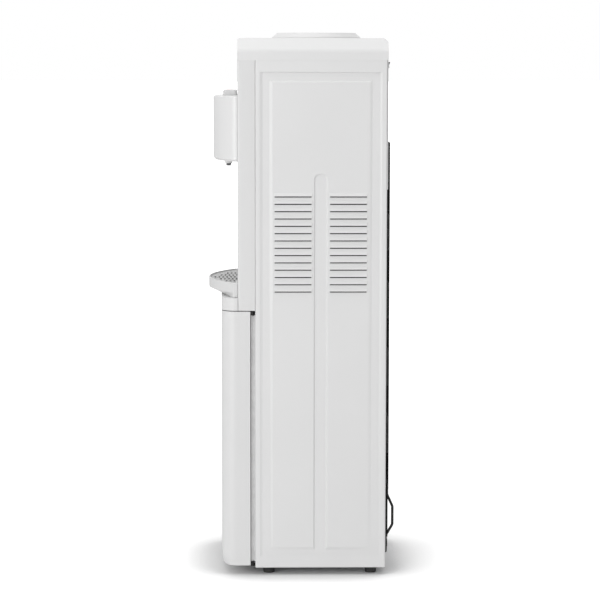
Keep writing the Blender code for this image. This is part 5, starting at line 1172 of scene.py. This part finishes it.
class DISPENSER_OT_storage_door(bpy.types.Operator):
    """Bowed door with its inner sheet, hinges and catch"""

    bl_idname = "dispenser.storage_door"
    bl_label = "Storage Door"

    def execute(self, context):
        refined("bowed_door", "storage_door", front_moulding(), 1.0)
        refined("ribbed_inner_sheet", "door_liner", liner_moulding(), 0.6, 2)
        for level in ("upper", "lower"):
            refined(f"door_knuckle_{level}", f"hinge_knuckle_{level}", black_enamel(), 0.25, 2)
            refined(f"hinge_bracket_{level}", f"hinge_{level}", black_enamel(), 0.25, 2)
        refined("strike_plate", "catch_strike", zinc_plate(), 0.2, 2)
        refined("magnet_case", "magnetic_catch", black_moulding(), 0.8)
        self.seal()
        return {"FINISHED"}

    def seal(self):
        """A soft seal round the door's inner sheet, clear of the hinges and the catch, whose grey
        fills the door gap and stands in for the shade there.
        """
        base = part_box("door_liner")[1].y - 0.2 * MM
        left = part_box("catch_strike")[1].x + 1.5 * MM
        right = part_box("hinge_upper")[1].x - 2.1 * MM
        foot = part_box("hinge_lower")[1].z + 1 * MM
        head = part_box("hinge_upper")[0].z - 1 * MM
        take()
        bpy.ops.mesh.primitive_plane_add(size=1, location=(0, 0, 0))
        seal = bpy.context.object
        seal.scale = (right - left, head - foot, 1)
        seal.rotation_euler = (math.radians(-90), 0, 0)
        seal.location = ((left + right) / 2, base, (foot + head) / 2)
        open_mesh(settle(seal, "door_seal"))
        bpy.ops.mesh.inset(thickness=8.5 * MM)
        bpy.ops.mesh.delete(type="FACE")
        bpy.ops.mesh.select_all(action="SELECT")
        for step in (3, 2.6, 2.6):
            pull((0, step * MM, 0))
        waist = (base + 3 * MM, base + 5.6 * MM)
        pick(
            "FACE",
            lambda face: abs(face.normal.y) < 0.1
            and all(near(vert.co.y, *waist) for vert in face.verts),
        )
        bpy.ops.mesh.inset(thickness=0.5 * MM, depth=-1.2 * MM, use_boundary=False)
        close_mesh()
        dress(weld(seal), "door_liner", seal_rubber(), 0.4 * MM, 2, replace=False)


class DISPENSER_OT_cupboard(bpy.types.Operator):
    """Moulded lining of the storage compartment"""

    bl_idname = "dispenser.cupboard"
    bl_label = "Cupboard"

    def execute(self, context):
        refined("cupboard_lining", "cabinet_liner", liner_moulding(), 2.5, 4)
        return {"FINISHED"}


class DISPENSER_OT_base(bpy.types.Operator):
    """Galvanised base pan on four rubber feet"""

    bl_idname = "dispenser.base"
    bl_label = "Base"

    def execute(self, context):
        refined("folded_pan", "base_pan", zinc_plate(), 0.4, 2)
        for corner in ("front_right", "front_left", "rear_right", "rear_left"):
            node = f"foot_{corner}"
            x, y, _ = centre(node)
            foot = turned(
                f"rubber_{node}",
                (x, y, 0),
                rings(0, (8.5, 0.8), (8.9, 0), (10, 0), (10.3, 1.6))
                + rings(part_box(node)[1].z, (11.6, -7), (12, -6), (4, -6), (4, 0)),
                sides=48,
            )
            dress(foot, node, black_rubber(), 0.5 * MM, 3, 25)
        return {"FINISHED"}


class DISPENSER_OT_back(bpy.types.Operator):
    """Back sheet, upper rear cover, rocker switches, drain plug and bush"""

    bl_idname = "dispenser.back"
    bl_label = "Back"

    def execute(self, context):
        refined("back_sheet", "back_panel", powder_coat(), 0.2, 2)
        refined("rear_cover", "upper_back_cover", front_moulding(), 0.6, 2)
        for name in ("hot", "cold"):
            node = f"rocker_{name}"
            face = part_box(node)[1].y - 2.9 * MM
            cap = drawn_copy(node, f"rocker_cap_{name}")
            shift(cap, lambda co: co.y > face, (0, 2.2 * MM, 0))
            dress(cap, node, black_moulding(), sizes().moulded_edge)
        low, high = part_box("drain_plug")
        x, _, z = centre("drain_plug")
        plug = turned(
            "rubber_bung",
            (x, 0, z),
            rings(low.y, (3.6, 0)) + rings(high.y, (3.6, -4), (8, -4), (8, 0), (5, 0), (4.4, -1.2)),
            axis="Y",
            sides=48,
        )
        dress(plug, "drain_plug", black_rubber(), 0.5 * MM, 3, 25)
        low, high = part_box("cord_gland")
        x, _, z = centre("cord_gland")
        bush = turned(
            "lead_bush",
            (x, 0, z),
            rings(low.y, (3.5, 0), (6, 0))
            + rings(high.y, (6, -4), (8, -4), (8, -1), (6.5, 0), (3.5, 0)),
            axis="Y",
            sides=48,
            hollow=True,
        )
        dress(bush, "cord_gland", black_moulding(), 0.4 * MM, 2, 25)
        return {"FINISHED"}


class DISPENSER_OT_condenser(bpy.types.Operator):
    """Wire-on-tube condenser behind the cabinet"""

    bl_idname = "dispenser.condenser"
    bl_label = "Condenser"

    def execute(self, context):
        low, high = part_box("condenser")
        tube = 2.4 * MM
        y = high.y - tube - 0.6 * MM
        back_x, drier_x, drier_y = 137 * MM, -112 * MM, 134 * MM
        top = high.z - 8 * MM
        pitch = (top - CONDENSER_FOOT) / (CONDENSER_PASSES - 1)
        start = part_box("filter_drier")[1].z + 0.3 * MM
        corners = [
            (drier_x, drier_y, start),
            (drier_x, drier_y, start + 14 * MM),
            (-back_x, y, start + 28 * MM),
            (-back_x, y, top),
        ]
        for run in range(CONDENSER_PASSES):
            z = top - run * pitch
            bend = CONDENSER_BEND if run % 2 == 0 else -CONDENSER_BEND
            corners += [(-bend, y, z), (bend, y, z)] if run else [(bend, y, z)]
        corners.append((CONDENSER_BEND, y, z - 10 * MM))
        tubes = piped("serpentine", [rounded_path(corners, 18 * MM, 6)], tube, 3)
        wire, spacing = sizes().wire_radius, sizes().wire_pitch
        count = int(2 * WIRED_HALF / spacing) // 2 * 2 + 1
        strands = []
        for number in range(count):
            x = (number - (count - 1) / 2) * spacing
            for face in (1, -1):
                wire_y = y + face * (tube + wire - 0.35 * MM)
                strands.append([(x, wire_y, low.z + 2 * MM), (x, wire_y, high.z)])
        wires = piped("wires", strands, wire, 0)
        tabs = []
        for run in (2, 8):
            for side in (1, -1):
                turn = run if (run % 2 == 0) == (side > 0) else run + 1
                tab_z = top - (turn + 0.5) * pitch
                tabs.append(self.tab(side, tab_z, y - tube + 1 * MM))
        fit(joined([tubes, wires, *tabs], "wire_condenser"), "condenser", black_enamel())
        self.stays(y - 0.4 * MM, low.z + 8 * MM)
        return {"FINISHED"}

    def stays(self, y, top):
        """Two rods that carry the condenser's weight down to the pan's rim."""
        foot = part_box("base_pan")[1].z + 0.3 * MM
        rods, plates = [], []
        for x in (-STAY_X, STAY_X):
            rods.append([(x, y, foot), (x, y, top)])
            plate = block(
                "stay_foot",
                (x - 6 * MM, y - 6 * MM, foot),
                (x + 6 * MM, y + 2.2 * MM, foot + 1.2 * MM),
            )
            plates.append(even_shade(soften(plate, 0.3 * MM, 2)))
        stays = joined([piped("condenser_stays", rods, 2.2 * MM, 2), *plates], "condenser_stays")
        fit(stays, "condenser", black_enamel(), replace=False)

    def tab(self, side, z, rear):
        """A strap from the condenser's bend to the side panel."""
        inner, outer = CONDENSER_BEND - 3 * MM, 151 * MM
        front, height = 153 * MM, 16 * MM
        take()
        bpy.ops.mesh.primitive_plane_add(size=1, location=(0, 0, 0))
        strap = settle(bpy.context.object)
        open_mesh(strap)
        bpy.ops.transform.resize(value=(outer - inner, height, 1), center_override=(0, 0, 0))
        bpy.ops.mesh.subdivide(number_cuts=1)
        pull((0, 0, rear - front))
        close_mesh()
        strap.rotation_euler = (math.radians(90), 0, 0)
        strap.location = (side * (inner + outer) / 2, rear, z)
        return even_shade(soften(weld(settle(strap)), 0.5 * MM, 2))


class DISPENSER_OT_circuit(bpy.types.Operator):
    """Compressor with its terminal cover, filter drier and lines"""

    bl_idname = "dispenser.circuit"
    bl_label = "Circuit"

    def execute(self, context):
        self.compressor(*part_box("compressor"))
        refined("terminal_box", "terminal_cover", black_moulding(), 2.2, 4)
        low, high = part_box("filter_drier")
        x, y, _ = centre("filter_drier")
        drier = turned(
            "copper_drier",
            (x, y, 0),
            rings(low.z, (1.2, 0), (1.2, 7), (4, 9), (9.5, 14))
            + rings(high.z, (9.5, -14), (5, -9), (3.2, -7), (3.2, 0)),
            sides=48,
        )
        dress(drier, "filter_drier", copper_tube(), 1.5 * MM, 3, 15)
        self.bow_line(*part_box("discharge_line"))
        self.return_line(*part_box("suction_line"))
        return {"FINISHED"}

    def compressor(self, low, high):
        """A domed can with a seam and two stubs, on a plate with four grommets."""
        y = (low.y + high.y) / 2
        top, foot = high.z - 9 * MM, low.z + 17.5 * MM
        radius, seam = 56 * MM, foot + 75 * MM
        outline = [(radius - 13 * MM, foot), (radius, foot + 13 * MM)]
        outline += rings(seam, (56, -2.5), (59.5, -2.5), (59.5, 2.5), (56, 2.5))
        for step in range(8, 0, -1):
            angle = math.pi / 2 * step / 8
            outline.append((radius * math.sin(angle), top - 26 * MM * (1 - math.cos(angle))))
        can = turned("can", (0, y, 0), outline, sides=72)
        soften(can, 1.2 * MM, 3, 25)
        plate_low = foot - 1.5 * MM
        plate = self.slab("plate", (88 * MM, 46 * MM), (0, y), plate_low, plate_low + 2.5 * MM)
        parts = [can, plate]
        grommet = rings(low.z, (9, 0))
        grommet += rings(plate_low, (9, -1), (6.5, -0.5), (6.5, 3), (8.6, 3.4), (8.6, 5))
        for x in (-GROMMET_X, GROMMET_X):
            for offset in (-GROMMET_Y, GROMMET_Y):
                parts.append(turned("grommet", (x, y + offset, 0), grommet, sides=32))
        outlet = rings(0, (3.2, 40), (3.2, 65))
        parts.append(turned("outlet", (0, y, foot + 46 * MM), outlet, axis="X", sides=24))
        intake = rings(top, (3.2, -20)) + rings(high.z, (3.2, 0))
        parts.append(turned("intake", (-20 * MM, y, 0), intake, sides=24))
        fit(even_shade(joined(parts, "compressor_can")), "compressor", black_enamel())

    def bow_line(self, low, high):
        """From the compressor over the pan's edge, then up in a bow to the condenser."""
        tube = 2.4 * MM
        x, run, drop, outlet_y, outlet_z = high.x - tube, 95 * MM, 104 * MM, 83 * MM, 79.8 * MM
        drop_y, bow_y, top_y, dip = 156.3 * MM, high.y - tube, 158.5 * MM, 34.6 * MM
        corners = [
            (low.x, outlet_y, outlet_z),
            (run, outlet_y, outlet_z),
            (drop, drop_y, 73 * MM),
            (drop, drop_y, dip),
            (x, drop_y, dip),
            (x, drop_y, 66 * MM),
            (x, bow_y, 87 * MM),
            (x, bow_y, 121 * MM),
            (x, top_y, 143 * MM),
            (x, top_y, high.z),
        ]
        bent("bow_line", "discharge_line", black_enamel(), corners, tube, 9 * MM)

    def return_line(self, low, high):
        """From the coil down the back to the compressor."""
        tube = 3 * MM
        coil_x, coil_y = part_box("evaporator_coil")[0].x + 4 * MM, 29.2 * MM
        x, rear, upper = low.x + tube, 130 * MM, 657 * MM
        stub_x, stub_y, lower = high.x - tube, 83 * MM, 203 * MM
        corners = [
            (coil_x, coil_y, high.z),
            (coil_x, coil_y, upper),
            (x, rear, upper),
            (x, rear, lower),
            (stub_x, stub_y, lower),
            (stub_x, stub_y, low.z),
        ]
        bent("return_line", "suction_line", copper_tube(), corners, tube, 16 * MM)

    def slab(self, name, half, middle, low, high):
        """A flat plate with rounded corners."""
        take()
        bpy.ops.mesh.primitive_plane_add(size=2, location=(*middle, low))
        plate = settle(bpy.context.object, name)
        open_mesh(plate)
        bpy.ops.transform.resize(value=(*half, 1), center_override=(*middle, low))
        bpy.ops.mesh.bevel(offset=10 * MM, segments=4, affect="VERTICES")
        bpy.ops.mesh.select_all(action="SELECT")
        pull((0, 0, high - low))
        close_mesh()
        return soften(weld(plate), 0.4 * MM, 2)


class DISPENSER_OT_tanks(bpy.types.Operator):
    """Tanks with their insulation and coil, on their shelf"""

    bl_idname = "dispenser.tanks"
    bl_label = "Tanks"

    def execute(self, context):
        refined("tank_bracket", "tank_shelf", zinc_plate(), 0.3, 2)
        refined("cold_can", "cold_tank", drawn_stainless(), 0.6, 2)
        refined("foam_cup", "cold_insulation", bead_foam(), 1.5, 2)
        refined("heater_can", "hot_tank", drawn_stainless(), 0.6, 2)
        refined("cooling_coil", "evaporator_coil", copper_tube(), 0.1, 1)
        for name in ("cold", "room", "hot", "feed"):
            refined(f"soft_hose_{name}", f"hose_{name}", silicone_hose(), 0.1, 1)
        self.drain_hose(*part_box("hose_drain"))
        return {"FINISHED"}

    def drain_hose(self, low, high):
        """From the hot tank down beside the compressor to the plugged spigot."""
        hose = 4.5 * MM
        x, y, z = high.x - hose, low.y + hose, high.z - hose
        rear, spigot, foot = 130 * MM, 66 * MM, low.z + hose
        corners = [
            (low.x, y, z),
            (x, y, z),
            (x, rear, z),
            (x, rear, foot),
            (spigot, rear, foot),
            (spigot, high.y, foot),
        ]
        bent("soft_hose_drain", "hose_drain", silicone_hose(), corners, hose, 14 * MM)


class DISPENSER_OT_stage(bpy.types.Operator):
    """Pale floor, soft lamps and the camera"""

    bl_idname = "dispenser.stage"
    bl_label = "Stage"

    def execute(self, context):
        self.floor()
        self.world()
        self.lamps()
        self.camera()
        context.scene.view_settings.view_transform = "Standard"
        return {"FINISHED"}

    def floor(self):
        """A floor that looks white to the camera, with the object's contact shadow painted darker
        where its camera glow is held back close to the object.
        """
        take()
        bpy.ops.mesh.primitive_plane_add(size=600, location=(0, 0, 0))
        ground = settle(bpy.context.object, "pale_floor")
        paint = Surface("floor_paint", (0.86, 0.86, 0.86), 0.9)
        paint.tone(paint.noise(2), 0.99)
        paint.set(Specular_IOR_Level=0.1)
        contact_shade_ao = paint.node("AmbientOcclusion", Distance=0.12)
        away = paint.node("VectorMath", Vector=paint.place)
        away.operation = "LENGTH"
        # Painted contact shadow: the camera glow fades to nothing where ambient occlusion finds the
        # object close, and grows with distance so the far floor turns white.
        glow = paint.maths(
            "ADD",
            paint.between(contact_shade_ao.outputs["AO"], 0.65, 1.0, 0.0, 0.5),
            paint.between(away.outputs["Value"], 1.0, 4.0, 0.0, 0.5),
        )
        seen = paint.node("LightPath").outputs["Is Camera Ray"]
        paint.set(Emission_Strength=paint.maths("MULTIPLY", seen, glow))
        ground.data.materials.append(paint.material)

    def world(self):
        """White to the camera and in reflections, and a softer light on the surfaces."""
        world = bpy.data.worlds.new("white_room")
        bpy.context.scene.world = world
        world.use_nodes = True
        nodes, links = world.node_tree.nodes, world.node_tree.links
        nodes.clear()
        mix = nodes.new("ShaderNodeMixShader")
        for socket, strength in ((1, 0.6), (2, 1.0)):
            light = nodes.new("ShaderNodeBackground")
            light.inputs["Color"].default_value = (1, 1, 1, 1)
            light.inputs["Strength"].default_value = strength
            links.new(light.outputs[0], mix.inputs[socket])
        path = nodes.new("ShaderNodeLightPath")
        seen = path.outputs["Is Camera Ray"]
        for ray in ("Is Glossy Ray", "Is Transmission Ray"):
            either = nodes.new("ShaderNodeMath")
            either.operation = "MAXIMUM"
            links.new(seen, either.inputs[0])
            links.new(path.outputs[ray], either.inputs[1])
            seen = either.outputs[0]
        links.new(seen, mix.inputs[0])
        links.new(mix.outputs[0], nodes.new("ShaderNodeOutputWorld").inputs["Surface"])

    def lamps(self):
        for name, place, size, power in (
            ("top_softbox", (0.4, -0.3, 3.2), 3.0, 31.0),
            ("key_softbox", (2.7, -1.75, 0.8), 2.0, 36.0),
        ):
            take()
            bpy.ops.object.light_add(type="AREA", location=place)
            lamp = bpy.context.object
            lamp.name = name
            lamp.data.size = size
            lamp.data.energy = power
            aim = Vector((0, 0, 0.4)) - Vector(place)
            lamp.rotation_euler = aim.to_track_quat("-Z", "Y").to_euler()

    def camera(self):
        """The photograph's view: nearly square on to the right side, from a little above."""
        focal_px, picture_px, sensor = 2258.15, 600, 36
        place = Vector((4.2224, -0.0763, 0.9390))
        tilt, turn, roll = (math.radians(angle) for angle in (6.0621, 1.0328, 0.0676))
        forward = Vector(
            (-math.cos(turn) * math.cos(tilt), math.sin(turn) * math.cos(tilt), -math.sin(tilt))
        )
        right = Vector((math.sin(turn), math.cos(turn), 0))
        up = right.cross(forward)
        spin = Matrix.Rotation(-roll, 3, forward)
        axes = Matrix((spin @ right, spin @ up, -forward)).transposed()
        take()
        bpy.ops.object.camera_add(location=place)
        camera = bpy.context.object
        camera.name = "photo_camera"
        camera.matrix_world = Matrix.Translation(place) @ axes.to_4x4()
        camera.data.sensor_width = sensor
        camera.data.lens = focal_px * sensor / picture_px
        camera.data.clip_end = 100
        bpy.context.scene.camera = camera


class DISPENSER_PT_panel(bpy.types.Panel):
    """The dispenser's pieces and sizes in the sidebar"""

    bl_idname = "DISPENSER_PT_panel"
    bl_label = "Water Dispenser"
    bl_space_type = "VIEW_3D"
    bl_region_type = "UI"
    bl_category = "Dispenser"

    def draw(self, context):
        column = self.layout.column(align=True)
        for piece in PIECES:
            column.operator(piece.bl_idname)
        for group in (sizes(), colours()):
            box = self.layout.box()
            for key in group.bl_rna.properties.keys():
                if key not in ("rna_type", "name"):
                    box.prop(group, key)


PIECES = (
    DISPENSER_OT_side_panels,
    DISPENSER_OT_top_cover,
    DISPENSER_OT_bottle_seat,
    DISPENSER_OT_fascia,
    DISPENSER_OT_tap_housing,
    DISPENSER_OT_buttons,
    DISPENSER_OT_taps,
    DISPENSER_OT_drip_tray,
    DISPENSER_OT_storage_door,
    DISPENSER_OT_cupboard,
    DISPENSER_OT_base,
    DISPENSER_OT_back,
    DISPENSER_OT_condenser,
    DISPENSER_OT_circuit,
    DISPENSER_OT_tanks,
    DISPENSER_OT_stage,
)
CLASSES = (DispenserSizes, DispenserColours, *PIECES, DISPENSER_PT_panel)


def register():
    for each in CLASSES:
        bpy.utils.register_class(each)
    bpy.types.Scene.dispenser_sizes = bpy.props.PointerProperty(type=DispenserSizes)
    bpy.types.Scene.dispenser_colours = bpy.props.PointerProperty(type=DispenserColours)


def unregister():
    del bpy.types.Scene.dispenser_colours
    del bpy.types.Scene.dispenser_sizes
    for each in reversed(CLASSES):
        bpy.utils.unregister_class(each)


def main():
    register()
    bpy.ops.dispenser.side_panels()
    bpy.ops.dispenser.top_cover()
    bpy.ops.dispenser.bottle_seat()
    bpy.ops.dispenser.fascia()
    bpy.ops.dispenser.tap_housing()
    bpy.ops.dispenser.buttons()
    bpy.ops.dispenser.taps()
    bpy.ops.dispenser.drip_tray()
    bpy.ops.dispenser.storage_door()
    bpy.ops.dispenser.cupboard()
    bpy.ops.dispenser.base()
    bpy.ops.dispenser.back()
    bpy.ops.dispenser.condenser()
    bpy.ops.dispenser.circuit()
    bpy.ops.dispenser.tanks()
    bpy.ops.dispenser.stage()


if __name__ == "__main__":
    main()
